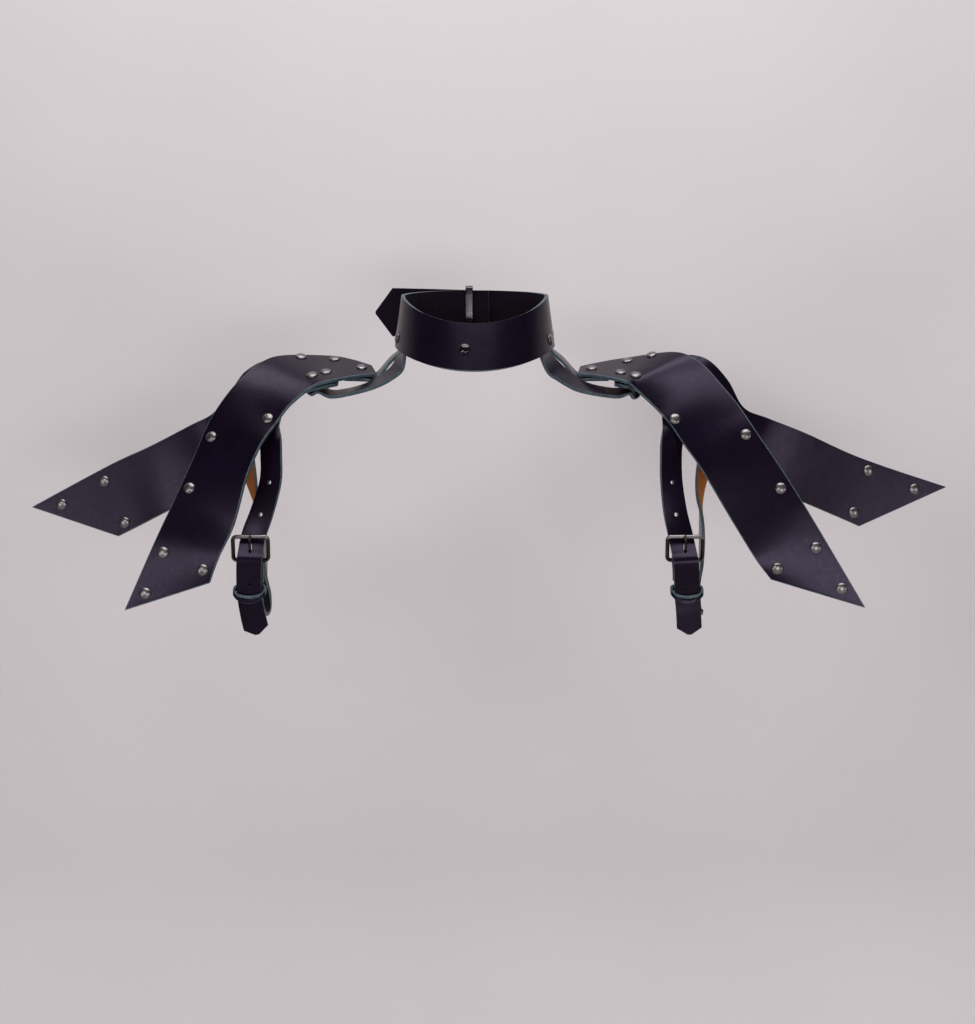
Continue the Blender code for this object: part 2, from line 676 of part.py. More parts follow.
def put_rivets(side, collar, front, rear, straps):
    sign = SIDES[side]
    shoulder, hanger, armhole, buckle_strap = straps
    down = Vector((0, 0, -1))
    ahead = Vector((0, 1, 0))
    stacks = {0: [front, hanger], 4: [front, rear, shoulder]}
    for index, (x, y) in enumerate(ROOT_RIVETS[side]):
        pierced = stacks.get(index, [front, rear])
        rivet_through(f"root_rivet_{side}_{index + 1}", Vector((x, y, 40.0)), down, pierced)
    for index, (x, z) in enumerate(FRONT_RIVETS[side]):
        rivet_through(f"front_rivet_{side}_{index + 1}", Vector((x, -200.0, z)), ahead, [front])
    for index, (x, z) in enumerate(REAR_RIVETS[side]):
        rivet_through(f"rear_rivet_{side}_{index + 1}", Vector((x, -200.0, z)), ahead, [rear])
    x, z = ARMHOLE_RIVET[side]
    rivet_through("armhole_rivet_" + side, Vector((x, -200.0, z)), ahead, [front, armhole])
    x, z = BUCKLE_STRAP_RIVET[side]
    rivet_through("buckle_strap_rivet_" + side, Vector((x, -6.0, z)) + Vector((0, -22.0, 0)), ahead,
                  [rear, buckle_strap])
    for label, angle, strap in (("side", SHOULDER_ANGLE[side], shoulder), ("hanger", 103.0 * sign, hanger)):
        place = collar_point(angle, 0.21)
        start = Vector((place.x * 2, place.y * 2, place.z))
        look = Vector((-place.x, -place.y, 0.0)).normalized()
        rivet_through(f"collar_{label}_rivet_{side}", start, look, [collar, strap])


def main():
    collar = make_collar()
    make_clasp()
    for side in SIDES:
        front, rear = make_wing(side)
        shoulder = make_shoulder_strap(side, collar, rear)
        hanger = make_hanger_strap(side, front)
        armhole = make_armhole_strap(side, front)
        buckle_strap = make_buckle_strap(side, rear)
        make_buckle(side)
        make_keeper(side)
        put_rivets(side, collar, front, rear, (shoulder, hanger, armhole, buckle_strap))
    place = collar_point(COLLAR_TURN, 0.45)
    start = Vector((place.x * 2, place.y * 2, place.z))
    rivet_through("collar_front_rivet", start, Vector((-place.x, -place.y, 0.0)).normalized(), [collar])
    drill_holes()


main()
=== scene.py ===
# %% [markdown]
# # A leather shoulder harness, dressed for the camera
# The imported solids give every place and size. This script puts finer leather and metal around
# them: cut edges, a smooth grain side, a rough flesh side, domed rivets and bent wire buckles.
# All tables are in millimetres. The front faces -Y and +Z is up.

# %% Load the frame
import math

import bmesh
import bpy
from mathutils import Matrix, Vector
from mathutils.bvhtree import BVHTree


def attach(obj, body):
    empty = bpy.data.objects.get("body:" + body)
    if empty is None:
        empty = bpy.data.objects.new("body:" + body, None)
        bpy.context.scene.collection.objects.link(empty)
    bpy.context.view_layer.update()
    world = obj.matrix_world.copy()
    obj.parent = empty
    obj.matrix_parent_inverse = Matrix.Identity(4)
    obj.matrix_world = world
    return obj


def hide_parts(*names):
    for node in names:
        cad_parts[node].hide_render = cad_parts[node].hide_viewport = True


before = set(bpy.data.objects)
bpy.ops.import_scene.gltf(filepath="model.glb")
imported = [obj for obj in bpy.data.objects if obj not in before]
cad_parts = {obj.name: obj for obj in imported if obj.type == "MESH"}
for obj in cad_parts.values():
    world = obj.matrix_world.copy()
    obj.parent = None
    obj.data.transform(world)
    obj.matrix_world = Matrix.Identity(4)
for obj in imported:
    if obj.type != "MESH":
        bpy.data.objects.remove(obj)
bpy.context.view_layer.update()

MM = 0.001
SIDES = {"right": 1, "left": -1}

# %% [markdown]
# ## The camera
# The picture was taken level, from one and a half metres, a little above the collar. A small
# shift keeps the lens level while the harness sits in the upper half of the picture. The
# camera's place is in metres.

# %% Camera
CAMERA_PLACE = (0.010, -1.5, 0.0355)
LENS = 66.76
SHIFT_DOWN = -0.207
NEAREST = 0.01
camera_data = bpy.data.cameras.new("camera")
camera_data.lens = LENS
camera_data.shift_y = SHIFT_DOWN
camera_data.clip_start = NEAREST
camera = bpy.data.objects.new("camera", camera_data)
camera.location = CAMERA_PLACE
camera.rotation_euler = (math.radians(90.0), 0.0, 0.0)
bpy.context.scene.collection.objects.link(camera)
bpy.context.scene.camera = camera
print("camera at", CAMERA_PLACE, "with a lens of", LENS)

# %% [markdown]
# ## One helper for shader and geometry nodes
# Materials and Geometry Nodes trees are both graphs. The same small function adds a node, sets
# its options, fills its inputs and joins them to other nodes.

# %% Node helper and colours
def add_node(tree, kind, settings=None, inputs=None):
    """A node of that kind, with its settings, and its inputs set to values or joined to sockets."""
    node = tree.nodes.new(kind)
    for key, value in (settings or {}).items():
        setattr(node, key, value)
    for key, value in (inputs or {}).items():
        if isinstance(value, bpy.types.NodeSocket):
            tree.links.new(value, node.inputs[key])
        else:
            node.inputs[key].default_value = value
    return node


def from_hex(code):
    """A linear colour from an sRGB hex value such as #8A6B4F."""
    values = [int(code[i:i + 2], 16) / 255 for i in (1, 3, 5)]
    linear = [v / 12.92 if v <= 0.04045 else ((v + 0.055) / 1.055) ** 2.4 for v in values]
    return (*linear, 1.0)


def empty_material(name):
    """A new material with nothing but its output, and that output."""
    material = bpy.data.materials.new(name)
    material.use_nodes = True
    material.node_tree.nodes.clear()
    return material, material.node_tree, material.node_tree.nodes.new("ShaderNodeOutputMaterial")


def two_tones(tree, factor, dark, light, low=0.35, high=0.65):
    """A colour that goes from dark to light as factor rises from low to high."""
    ramp = add_node(tree, "ShaderNodeValToRGB", {}, {"Fac": factor})
    ramp.color_ramp.elements[0].position = low
    ramp.color_ramp.elements[0].color = from_hex(dark)
    ramp.color_ramp.elements[1].position = high
    ramp.color_ramp.elements[1].color = from_hex(light)
    return ramp.outputs["Color"]


print("sRGB #808080 in linear light:", round(from_hex("#808080")[0], 3))

# %% [markdown]
# ## Vegetable-tanned leather: the grain side
# All straps and blades are cut from one kind of hide, which has three faces. The grain side is
# dyed black and waxed: nearly no colour of its own, with a soft violet sheen, and a few wide
# creases. Real pores are about 0.2 mm apart, too fine to show, so the grain here is drawn at
# 1.1 mm.

# %% Grain side
PORE = 1.1 * MM
CREASE = 26.0 * MM


def make_grain_leather():
    material, tree, output = empty_material("black waxed leather, grain side")
    place = add_node(tree, "ShaderNodeTexCoord").outputs["Object"]
    cloud = add_node(tree, "ShaderNodeTexNoise", {}, {
        "Vector": place, "Scale": 1 / CREASE, "Detail": 5.0})
    pores = add_node(tree, "ShaderNodeTexVoronoi", {"feature": "SMOOTH_F1"},
                     {"Vector": place, "Scale": 1 / PORE, "Smoothness": 0.6})
    fine = add_node(tree, "ShaderNodeTexNoise", {}, {
        "Vector": place, "Scale": 1 / (3 * PORE), "Detail": 6.0})
    colour = two_tones(tree, cloud.outputs["Fac"], "#07030D", "#0D0716")
    rough = add_node(tree, "ShaderNodeMapRange", {}, {
        "Value": fine.outputs["Fac"], "From Min": 0.3, "From Max": 0.7,
        "To Min": 0.27, "To Max": 0.31})
    waves = add_node(tree, "ShaderNodeBump", {}, {
        "Height": cloud.outputs["Fac"], "Strength": 0.25, "Distance": 0.8 * MM})
    skin = add_node(tree, "ShaderNodeBump", {}, {
        "Height": pores.outputs["Distance"], "Strength": 0.015, "Distance": 0.05 * MM,
        "Normal": waves.outputs["Normal"]})
    shader = add_node(tree, "ShaderNodeBsdfPrincipled", {}, {
        "Base Color": colour, "Roughness": rough.outputs["Result"], "IOR": 1.45,
        "Specular IOR Level": 0.28, "Specular Tint": from_hex("#D6C4EA"),
        "Normal": skin.outputs["Normal"]})
    tree.links.new(shader.outputs["BSDF"], output.inputs["Surface"])
    return material


GRAIN = make_grain_leather()
print("leather:", GRAIN.name)

# %% [markdown]
# ## The cut edge
# A cut edge shows the fibres between the two faces. It is dyed and rubbed with a bone tool,
# which leaves it a little green-grey, with short streaks along it.

# %% Cut edge
EDGE_STREAK = 2.5 * MM


def make_edge_leather():
    material, tree, output = empty_material("dyed and rubbed leather edge")
    place = add_node(tree, "ShaderNodeTexCoord").outputs["Object"]
    streaks = add_node(tree, "ShaderNodeTexNoise", {}, {
        "Vector": place, "Scale": 1 / EDGE_STREAK, "Detail": 4.0})
    colour = two_tones(tree, streaks.outputs["Fac"], "#2B3A42", "#44555E")
    bump = add_node(tree, "ShaderNodeBump", {}, {
        "Height": streaks.outputs["Fac"], "Strength": 0.3, "Distance": 0.2 * MM})
    shader = add_node(tree, "ShaderNodeBsdfPrincipled", {}, {
        "Base Color": colour, "Roughness": 0.5, "IOR": 1.48, "Normal": bump.outputs["Normal"]})
    tree.links.new(shader.outputs["BSDF"], output.inputs["Surface"])
    return material


EDGE = make_edge_leather()
print("leather:", EDGE.name)

# %% [markdown]
# ## The flesh side
# The hide's inner side is rough and shines little. It keeps its tan, but the collar and the
# keepers are black through, and on the buckle straps it turns black toward their lower ends.
# The nap's real fibres are finer than a pixel, so they are drawn at 1.6 mm.

# %% Flesh side
NAP = 1.6 * MM
HIDE_PATCH = 18.0 * MM
TAN = ("#6E3F12", "#A06224")
FLESH_BLACK = "#100B0C"
BLACK_BETWEEN = (-140.0, -166.0)


def make_flesh_leather(name, dark, light, shine, black_between=None):
    """The hide's inner side. With black_between, it turns black between two heights in millimetres.
    """
    material, tree, output = empty_material(name)
    place = add_node(tree, "ShaderNodeTexCoord").outputs["Object"]
    nap = add_node(tree, "ShaderNodeTexNoise", {}, {
        "Vector": place, "Scale": 1 / NAP, "Detail": 8.0, "Roughness": 0.7})
    patches = add_node(tree, "ShaderNodeTexNoise", {}, {
        "Vector": place, "Scale": 1 / HIDE_PATCH, "Detail": 3.0})
    both = add_node(tree, "ShaderNodeMath", {"operation": "ADD"}, {
        0: nap.outputs["Fac"], 1: patches.outputs["Fac"]})
    colour = two_tones(tree, both.outputs["Value"], dark, light, low=0.7, high=1.3)
    # The colour goes over to black from the first height down to the second.
    if black_between:
        height = add_node(tree, "ShaderNodeSeparateXYZ", {}, {"Vector": place}).outputs["Z"]
        blackening = add_node(tree, "ShaderNodeMapRange", {}, {
            "Value": height, "From Min": black_between[0] * MM,
            "From Max": black_between[1] * MM})
        # The Mix node's two colours are its inputs 6 and 7, and its colour is output 2.
        mix = add_node(tree, "ShaderNodeMix", {"data_type": "RGBA"}, {
            0: blackening.outputs["Result"], 6: colour, 7: from_hex(FLESH_BLACK)})
        colour = mix.outputs[2]
    bump = add_node(tree, "ShaderNodeBump", {}, {
        "Height": nap.outputs["Fac"], "Strength": 0.6, "Distance": 0.3 * MM})
    shader = add_node(tree, "ShaderNodeBsdfPrincipled", {}, {
        "Base Color": colour, "Roughness": 0.9, "Specular IOR Level": shine,
        "Sheen Weight": 0.1 * shine, "Sheen Roughness": 0.5,
        "Normal": bump.outputs["Normal"]})
    tree.links.new(shader.outputs["BSDF"], output.inputs["Surface"])
    return material


FLESH = make_flesh_leather("tan leather, flesh side", *TAN, 0.5)
FLESH_BLACK_BELOW = make_flesh_leather("tan leather, flesh side, black below", *TAN, 0.12, BLACK_BETWEEN)
BLACK_FLESH = make_flesh_leather("black leather, flesh side", "#0B060D", "#150D18", 0.08)
for finish in (FLESH, FLESH_BLACK_BELOW, BLACK_FLESH):
    print("leather:", finish.name)

# %% [markdown]
# ## Black nickel
# Rivet caps and buckles are steel with a thin dark nickel plating, tumbled smooth: a warm grey
# metal with soft, wide highlights and faint smudges. The bent wire gets a darker copy of this
# metal, which is painted shade, and the frame's upper bar keeps the caps' paler one as a painted
# highlight.

# %% Black nickel
SMUDGE = 2.2 * MM


def make_black_nickel(name, dark, light, smooth, dull):
    """Plated steel whose roughness goes from smooth to dull where it is smudged."""
    material, tree, output = empty_material(name)
    place = add_node(tree, "ShaderNodeTexCoord").outputs["Object"]
    smudge = add_node(tree, "ShaderNodeTexNoise", {}, {
        "Vector": place, "Scale": 1 / SMUDGE, "Detail": 5.0})
    colour = two_tones(tree, smudge.outputs["Fac"], dark, light)
    rough = add_node(tree, "ShaderNodeMapRange", {}, {
        "Value": smudge.outputs["Fac"], "From Min": 0.3, "From Max": 0.7,
        "To Min": smooth, "To Max": dull})
    bump = add_node(tree, "ShaderNodeBump", {}, {
        "Height": smudge.outputs["Fac"], "Strength": 0.04, "Distance": 0.05 * MM})
    shader = add_node(tree, "ShaderNodeBsdfPrincipled", {}, {
        "Base Color": colour, "Metallic": 1.0, "Roughness": rough.outputs["Result"],
        "Normal": bump.outputs["Normal"]})
    tree.links.new(shader.outputs["BSDF"], output.inputs["Surface"])
    return material


NICKEL = make_black_nickel("black nickel plated steel", "#6C6768", "#807B7C", 0.3, 0.36)
# A darker copy of the same metal: painted shade for the bent wire.
SHADED_NICKEL = make_black_nickel(
    "black nickel plated wire, darker as painted shade", "#322C2B", "#463D3B", 0.15, 0.21)
print("metal:", NICKEL.name, "|", SHADED_NICKEL.name)

# %% [markdown]
# ## Black enamel and painted dark reflection
# The loop at the collar's back is painted with baked enamel: black, hard and glossy, with a
# surface that has flowed a little. The rivet at the collar's front is nickel like the others, but
# it takes this black too, as painted dark reflection.

# %% Black enamel
ENAMEL_FLOW = 3.0 * MM


def make_enamel_and_dark_reflection():
    material, tree, output = empty_material("black enamel, and painted dark reflection")
    place = add_node(tree, "ShaderNodeTexCoord").outputs["Object"]
    flow = add_node(tree, "ShaderNodeTexNoise", {}, {"Vector": place, "Scale": 1 / ENAMEL_FLOW})
    colour = two_tones(tree, flow.outputs["Fac"], "#060507", "#0C0A0D")
    bump = add_node(tree, "ShaderNodeBump", {}, {
        "Height": flow.outputs["Fac"], "Strength": 0.1, "Distance": 0.1 * MM})
    shader = add_node(tree, "ShaderNodeBsdfPrincipled", {}, {
        "Base Color": colour, "Roughness": 0.12, "IOR": 1.5,
        "Coat Weight": 0.15, "Coat Roughness": 0.05, "Normal": bump.outputs["Normal"]})
    tree.links.new(shader.outputs["BSDF"], output.inputs["Surface"])
    return material


# The same black is enamel on the back loop and painted dark reflection on the front rivet.
ENAMEL_AND_DARK_REFLECTION = make_enamel_and_dark_reflection()
print("metal:", ENAMEL_AND_DARK_REFLECTION.name)

# %% [markdown]
# ## A strip of leather
# A strip could be a box bent by a curve, but these blades widen, twist and end in slanted cuts.
# So the two edges are smooth lines through the sections, the grain side is stretched between
# them, Solidify gives the thickness and Bevel rubs the edges round. The three faces get their
# own materials.

# %% Grain side of a strip
def through(points, steps):
    """A smooth line through points, with steps pieces between each two of them."""
    line = []
    count = len(points)
    for index in range(count - 1):
        before = points[max(index - 1, 0)]
        start, end = points[index], points[index + 1]
        after = points[min(index + 2, count - 1)]
        for step in range(steps):
            t = step / steps
            pull = (end - before) * (t - 2 * t * t + t**3) + (after - start) * (t**3 - t * t)
            leave, arrive = 1 - 3 * t * t + 2 * t**3, 3 * t * t - 2 * t**3
            line.append(start * leave + end * arrive + pull * 0.5)
    line.append(points[-1])
    return line


def new_object(name, mesh, *materials):
    obj = bpy.data.objects.new(name, mesh)
    for material in materials:
        mesh.materials.append(material)
    bpy.context.scene.collection.objects.link(obj)
    return obj


def object_from(shape, name, *materials):
    """A smooth object made of a bmesh, which is then freed."""
    for face in shape.faces:
        face.smooth = True
    mesh = bpy.data.meshes.new(name)
    shape.to_mesh(mesh)
    shape.free()
    return new_object(name, mesh, *materials)


def leather_side(name, edges, grain, steps, across, tip):
    """The grain side of a strip between two edges, a sheet that faces the way grain tells."""
    first = through([pair[0] for pair in edges], steps) + [pair[0] for pair in tip]
    second = through([pair[1] for pair in edges], steps) + [pair[1] for pair in tip]
    shape = bmesh.new()
    grid = []
    for near, far in zip(first, second):
        grid.append([shape.verts.new(near.lerp(far, i / across) * MM) for i in range(across + 1)])
    for row, following in zip(grid, grid[1:]):
        for i in range(across):
            corners = [row[i], row[i + 1], following[i + 1], following[i]]
            shape.faces.new(corners if grain > 0 else corners[::-1])
    shape.normal_update()
    return object_from(shape, name, GRAIN, EDGE, FLESH)


print("a smooth line through 3 points in steps of 4 has", len(through([Vector()] * 3, 4)), "points")

# %% [markdown]
# ## Thickness and rubbed edges
# Solidify puts the second face below the grain side and closes the cut edge between them. Bevel
# then rounds the sharp edges, as rubbing does, and Weighted Normal keeps the wide faces evenly
# shaded.

# %% Thickness of a strip
EDGE_ROUND = 0.75
ROUND_SEGMENTS = 3
SHARP_ANGLE = 50.0
FLAT_WEIGHT = 60
pieces = {}


def give_thickness(obj, thickness):
    solid = obj.modifiers.new("thickness", "SOLIDIFY")
    solid.thickness = thickness * MM
    solid.offset = -1.0
    solid.use_even_offset = True
    solid.material_offset = 2
    solid.material_offset_rim = 1


def round_edges(obj, width=EDGE_ROUND):
    """Rounds the sharp edges. The round takes the material of slot 1, the cut edge's."""
    bevel = obj.modifiers.new("rubbed edge", "BEVEL")
    bevel.width = width * MM
    bevel.segments = ROUND_SEGMENTS
    bevel.limit_method = "ANGLE"
    bevel.angle_limit = math.radians(SHARP_ANGLE)
    bevel.material = 1
    smooth = obj.modifiers.new("even shading", "WEIGHTED_NORMAL")
    smooth.keep_sharp = False
    smooth.weight = FLAT_WEIGHT


def make_plain(obj):
    """The object with its modifiers turned into its mesh."""
    graph = bpy.context.evaluated_depsgraph_get()
    mesh = bpy.data.meshes.new_from_object(obj.evaluated_get(graph))
    obj.modifiers.clear()
    obj.data = mesh
    return obj


def strip(name, edges, thickness, grain, steps=6, across=10, tip=()):
    """A strip of leather, kept in pieces. The pair in tip is joined straight on, for a point."""
    pieces[name] = leather_side(name, edges, grain, steps, across, tip)
    give_thickness(pieces[name], thickness)


print("rubbed edges:", EDGE_ROUND, "mm round")

# %% [markdown]
# ## Straps that lie on leather
# A strap that is riveted to a blade lies flat against it. Its place there could be typed in,
# but it would miss the blade's twist. So rays find the blade's surface, and the strap is set on
# what they hit. SAME_WAY and BULGE_FACING are cosines: a face that turns further away doesn't
# count. Other straps follow a line of middles, each with a width and a turn.

# %% Strap helpers
RAY_RISE = 20.0
SAME_WAY = 0.7
BULGE_SHARES = (-0.95, -0.5, 0.5, 0.95)
BULGE_RISE = 6.0
BULGE_RAY = 9.0
BULGE_FACING = 0.6


def surface_of(obj):
    """The object's evaluated surface, in millimetres, for finding places on it."""
    graph = bpy.context.evaluated_depsgraph_get()
    shape = bmesh.new()
    shape.from_mesh(obj.evaluated_get(graph).to_mesh())
    bmesh.ops.scale(shape, vec=(1 / MM, 1 / MM, 1 / MM), verts=shape.verts)
    shape.normal_update()
    tree = BVHTree.FromBMesh(shape)
    shape.free()
    return tree


def edge_pairs(rows):
    return [(Vector(row[:3]), Vector(row[3:])) for row in rows]


def line_pairs(centres, widths, turns):
    """Edge pairs of a strap along centres, each as wide as its width and turned about Z."""
    pairs = []
    for index, centre in enumerate(centres):
        ahead = centres[min(index + 1, len(centres) - 1)]
        behind = centres[max(index - 1, 0)]
        along = (ahead - behind).normalized()
        turn = math.radians(turns[index])
        side = Vector((math.cos(turn), math.sin(turn), 0.0))
        side = (side - along * side.dot(along)).normalized() * widths[index] / 2
        pairs.append((centre + side, centre - side))
    return pairs


def seat_below(blade, start, look, along, width, gap, ends):
    """Edge pairs of a strap that follows a blade, gap off it, at the distances in ends.

    Rays under its middle and near its edges find the blade, so that it also clears a bulge.
    """
    surface = surface_of(pieces[blade])
    place, normal, _, _ = surface.ray_cast(start, look)
    along = (along - normal * along.dot(normal)).normalized()
    side = normal.cross(along).normalized()
    pairs = []
    for end in ends:
        aim = place + along * end
        spot, facing, _, _ = surface.ray_cast(aim + normal * RAY_RISE, -normal)
        if spot is None or facing.dot(normal) < SAME_WAY:
            spot, facing = aim, normal
        half = (side - facing * side.dot(facing)).normalized() * width / 2
        rise = 0.0
        for share in BULGE_SHARES:
            start = spot + half * share
            high, facet, _, _ = surface.ray_cast(start + facing * BULGE_RISE, -facing, BULGE_RAY)
            if high and facet.dot(facing) > BULGE_FACING:
                rise = max(rise, (high - start).dot(facing))
        centre = spot + facing * (gap + rise)
        pairs.append((centre + half, centre - half))
    return pairs


def narrower(pair, share):
    """An edge pair around the same middle, with that share of its width."""
    middle = (pair[0] + pair[1]) / 2
    return middle.lerp(pair[0], share), middle.lerp(pair[1], share)


def ordered(pairs, reference):
    """The pairs with each one's first edge on the same side as the reference vector."""
    return [pair if (pair[0] - pair[1]).dot(reference) > 0 else pair[::-1] for pair in pairs]


print("a strap clears bulges found at", BULGE_SHARES, "of its half width")

# %% [markdown]
# ## The wings' blades
# The front blade bends over the shoulder and hangs forward, the rear blade lies below it and
# points outward. Both are cut from 3 mm leather, thick enough to stand out by themselves. A row
# of their tables is one section, from the root to the tip.

# %% Blades
BLADE_THICKNESS = 3.0
BLADE_STEPS = 8
BLADE_ACROSS = 14
# Columns of both: outer edge x, y, z, inner edge x, y, z.
FRONT_BLADE = {
    "right": (
        (83.8, 14.1, -17.0, 80.9, -4.1, -21.9),
        (102.5, 21.2, -13.4, 99.8, -11.2, -23.6),
        (123.0, 28.3, -10.4, 118.0, -20.3, -27.3),
        (159.9, 12.5, -5.5, 124.5, -17.5, -32.5),
        (178.7, 0.0, -14.0, 140.8, -20.5, -48.1),
        (193.1, -11.5, -30.1, 151.2, -25.5, -60.2),
        (205.9, -22.0, -46.7, 161.7, -30.0, -75.8),
        (218.2, -33.5, -66.5, 175.0, -36.5, -95.1),
        (239.4, -44.5, -99.7, 194.4, -44.0, -128.9),
        (257.0, -53.0, -129.5, 213.5, -52.5, -160.8),
        (296.0, -63.5, -197.5, 225.8, -53.5, -177.6),
    ),
    "left": (
        (-82.1, 13.9, -16.3, -77.3, -3.9, -21.9),
        (-100.1, 20.9, -11.2, -96.3, -10.9, -24.0),
        (-119.0, 28.1, -8.8, -115.9, -20.1, -27.5),
        (-158.8, 15.4, -9.0, -126.8, -19.4, -31.6),
        (-178.4, 3.7, -20.4, -143.4, -25.7, -45.3),
        (-193.3, -6.8, -36.1, -154.4, -31.2, -60.4),
        (-207.8, -14.9, -59.1, -165.0, -39.1, -76.1),
        (-219.5, -23.9, -88.0, -175.1, -45.1, -100.9),
        (-232.2, -35.1, -119.0, -183.8, -49.5, -135.7),
        (-244.6, -46.8, -148.4, -194.6, -55.2, -160.3),
        (-266.0, -57.0, -200.2, -201.1, -57.5, -179.5),
    ),
}
REAR_BLADE = {
    "right": (
        (112.0, 25.6, -15.4, 109.4, -14.3, -29.4),
        (124.5, 29.3, -13.7, 119.0, -18.2, -31.3),
        (161.0, 16.5, -8.2, 125.5, -12.8, -34.8),
        (183.0, 6.0, -10.6, 150.0, -9.0, -41.0),
        (200.0, 2.0, -27.4, 171.0, -12.0, -48.0),
        (212.5, 0.0, -49.2, 187.5, -14.0, -88.0),
        (231.3, -1.0, -57.6, 209.7, -10.0, -104.2),
        (262.5, 7.0, -70.0, 240.5, -0.6, -116.2),
        (309.1, 16.0, -90.9, 286.3, 8.3, -135.8),
        (379.9, 30.0, -115.1, 306.2, 12.4, -144.7),
    ),
    "left": (
        (-107.5, 25.0, -13.8, -107.0, -14.6, -29.3),
        (-121.0, 29.1, -12.2, -117.5, -18.2, -31.4),
        (-160.5, 19.5, -11.0, -127.5, -15.4, -34.4),
        (-181.2, 10.0, -19.6, -150.0, -13.0, -41.0),
        (-193.6, 4.5, -36.0, -166.0, -12.0, -50.0),
        (-206.9, 0.0, -53.5, -184.5, -14.0, -92.0),
        (-225.3, 0.5, -63.4, -206.8, -11.0, -110.1),
        (-258.7, 7.2, -80.7, -239.4, 0.1, -129.3),
        (-291.4, 13.5, -95.9, -265.1, 4.9, -142.9),
        (-356.6, 25.8, -130.9, -283.6, 8.8, -152.3),
    ),
}
for side, sign in SIDES.items():
    for stem, table in (("front_blade_", FRONT_BLADE), ("rear_blade_", REAR_BLADE)):
        sections = edge_pairs(table[side])
        strip(stem + side, sections, BLADE_THICKNESS, sign, BLADE_STEPS, BLADE_ACROSS)
print("blades:", list(pieces))

# %% [markdown]
# ## The collar
# One strap goes round the neck, dips at the front and laps over itself at the back, where its
# pointed free end stands out past the lap. A function of the angle gives its edges, apart from
# the free end, which is straight and has a short table.

# %% Collar
COLLAR_THICKNESS = 2.8
COLLAR_TOP_RADIUS = 58.0
COLLAR_LOWER_SIDE = 63.2
COLLAR_LOWER_FRONT = 74.0
COLLAR_LOWER_BACK = 58.0
COLLAR_TOP_SIDE_Z = 39.5
COLLAR_FRONT_DIP = 21.8
COLLAR_LOWER_DIP = 17.4
COLLAR_BACK_RISE = 4.0
COLLAR_DIP_POWER = 1.45
COLLAR_ACROSS = 14
COLLAR_ANGLES = range(-191, 150, 15)
# Columns: angle, how far the lap stands out.
LAP_ANGLES = ((163, 2.6), (178, 3.6))
# Columns: x, y, upper edge z, lower edge z.
FREE_END = (
    (-14, 61.9, 44.0, 4.0),
    (-34, 62.6, 44.6, 4.6),
    (-51, 63.3, 45.0, 5.0),
    (-68, 64.0, 45.4, 5.6),
    (-82, 64.6, 26.2, 24.2),
)


def collar_point(angle, height, inward=0.0):
    """A point on the collar, its angle from the front toward +X, height 0 at its lower edge."""
    turn = math.radians(angle)
    forward = math.cos(turn)
    dip = max(forward, 0.0) ** COLLAR_DIP_POWER
    rise = max(-forward, 0.0) * COLLAR_BACK_RISE
    depth = COLLAR_LOWER_FRONT if forward > 0 else COLLAR_LOWER_BACK
    top_z = COLLAR_TOP_SIDE_Z - COLLAR_FRONT_DIP * dip + rise
    top = Vector((COLLAR_TOP_RADIUS * math.sin(turn), -COLLAR_TOP_RADIUS * forward, top_z))
    low_z = rise - COLLAR_LOWER_DIP * dip
    low = Vector((COLLAR_LOWER_SIDE * math.sin(turn), -depth * forward, low_z))
    outward = Vector((math.sin(turn), -forward, 0.0))
    return low.lerp(top, height) - outward * inward


def collar_edges():
    """The collar's edges, from its covered end at the back, round the front, to its free point."""
    pairs = []
    for angle in COLLAR_ANGLES:
        pairs.append((collar_point(angle, 1.0), collar_point(angle, 0.0)))
    for angle, lift in LAP_ANGLES:
        pairs.append((collar_point(angle, 1.0, -lift), collar_point(angle, 0.0, -lift)))
    for x, y, top, low in FREE_END:
        pairs.append((Vector((x, y, top)), Vector((x, y, low))))
    return pairs


edges = collar_edges()
strip("collar", edges[:-1], COLLAR_THICKNESS, 1, across=COLLAR_ACROSS, tip=edges[-1:])
pieces["collar"].data.materials[2] = BLACK_FLESH
print("collar:", len(edges), "sections")

# %% [markdown]
# ## The straps between collar and wings
# On each side two 19 mm straps leave the inside of the collar. The shoulder strap drops forward
# and runs flat below the root; the hanger strap goes straight out to the root's tip. Where a
# strap is riveted to a blade it lies against it, so its last sections are found on the blade's
# own surface.

# %% Upper straps
STRAP_THICKNESS = 2.6
STRAP_WIDTH = 19.0
SEAT_GAP = 0.3
BLADE_SEAT = 0.6
COLLAR_SLACK = 0.5
STRAP_TURN = 9.0
BELOW_WINGS = -80.0
SHOULDER_ANGLE = {"right": 71.0, "left": -76.0}
SHOULDER_STARTS = (0.42, 0.2, 0.0, -0.1)
# Columns: back edge x, y, z, front edge x, y, z.
SHOULDER_STRAP = {
    "right": (
        (66.9, -13.5, -13.5, 57.9, -28.5, -20.6),
        (72.6, -12.0, -18.9, 64.8, -28.0, -25.3),
        (79.4, -10.8, -23.9, 72.6, -27.4, -30.1),
        (87.6, -9.4, -28.8, 82.2, -26.8, -34.2),
        (101.0, -7.0, -32.3, 99.2, -25.2, -37.5),
        (113.2, -5.0, -33.2, 112.0, -23.1, -38.8),
    ),
    "left": (
        (-64.8, -11.8, -15.0, -57.1, -28.8, -18.3),
        (-71.2, -11.5, -21.0, -64.6, -29.0, -24.6),
        (-79.0, -10.8, -26.1, -73.4, -28.6, -29.4),
        (-88.0, -9.6, -30.4, -83.3, -27.9, -33.0),
        (-101.0, -7.0, -33.8, -99.2, -25.7, -37.0),
        (-113.6, -5.0, -34.6, -112.2, -23.6, -38.8),
    ),
}
SHOULDER_BACK = 2.0
SHOULDER_SLANT = -0.15
SHOULDER_END_SHARE = 0.5
SHOULDER_SEAT = {"right": 1.6, "left": 0.8}
SHOULDER_ENDS = (-4.0, 2.0, 6.0)
HANGER_ANGLE = 103.0
HANGER_STARTS = (0.45, 0.22, 0.0)
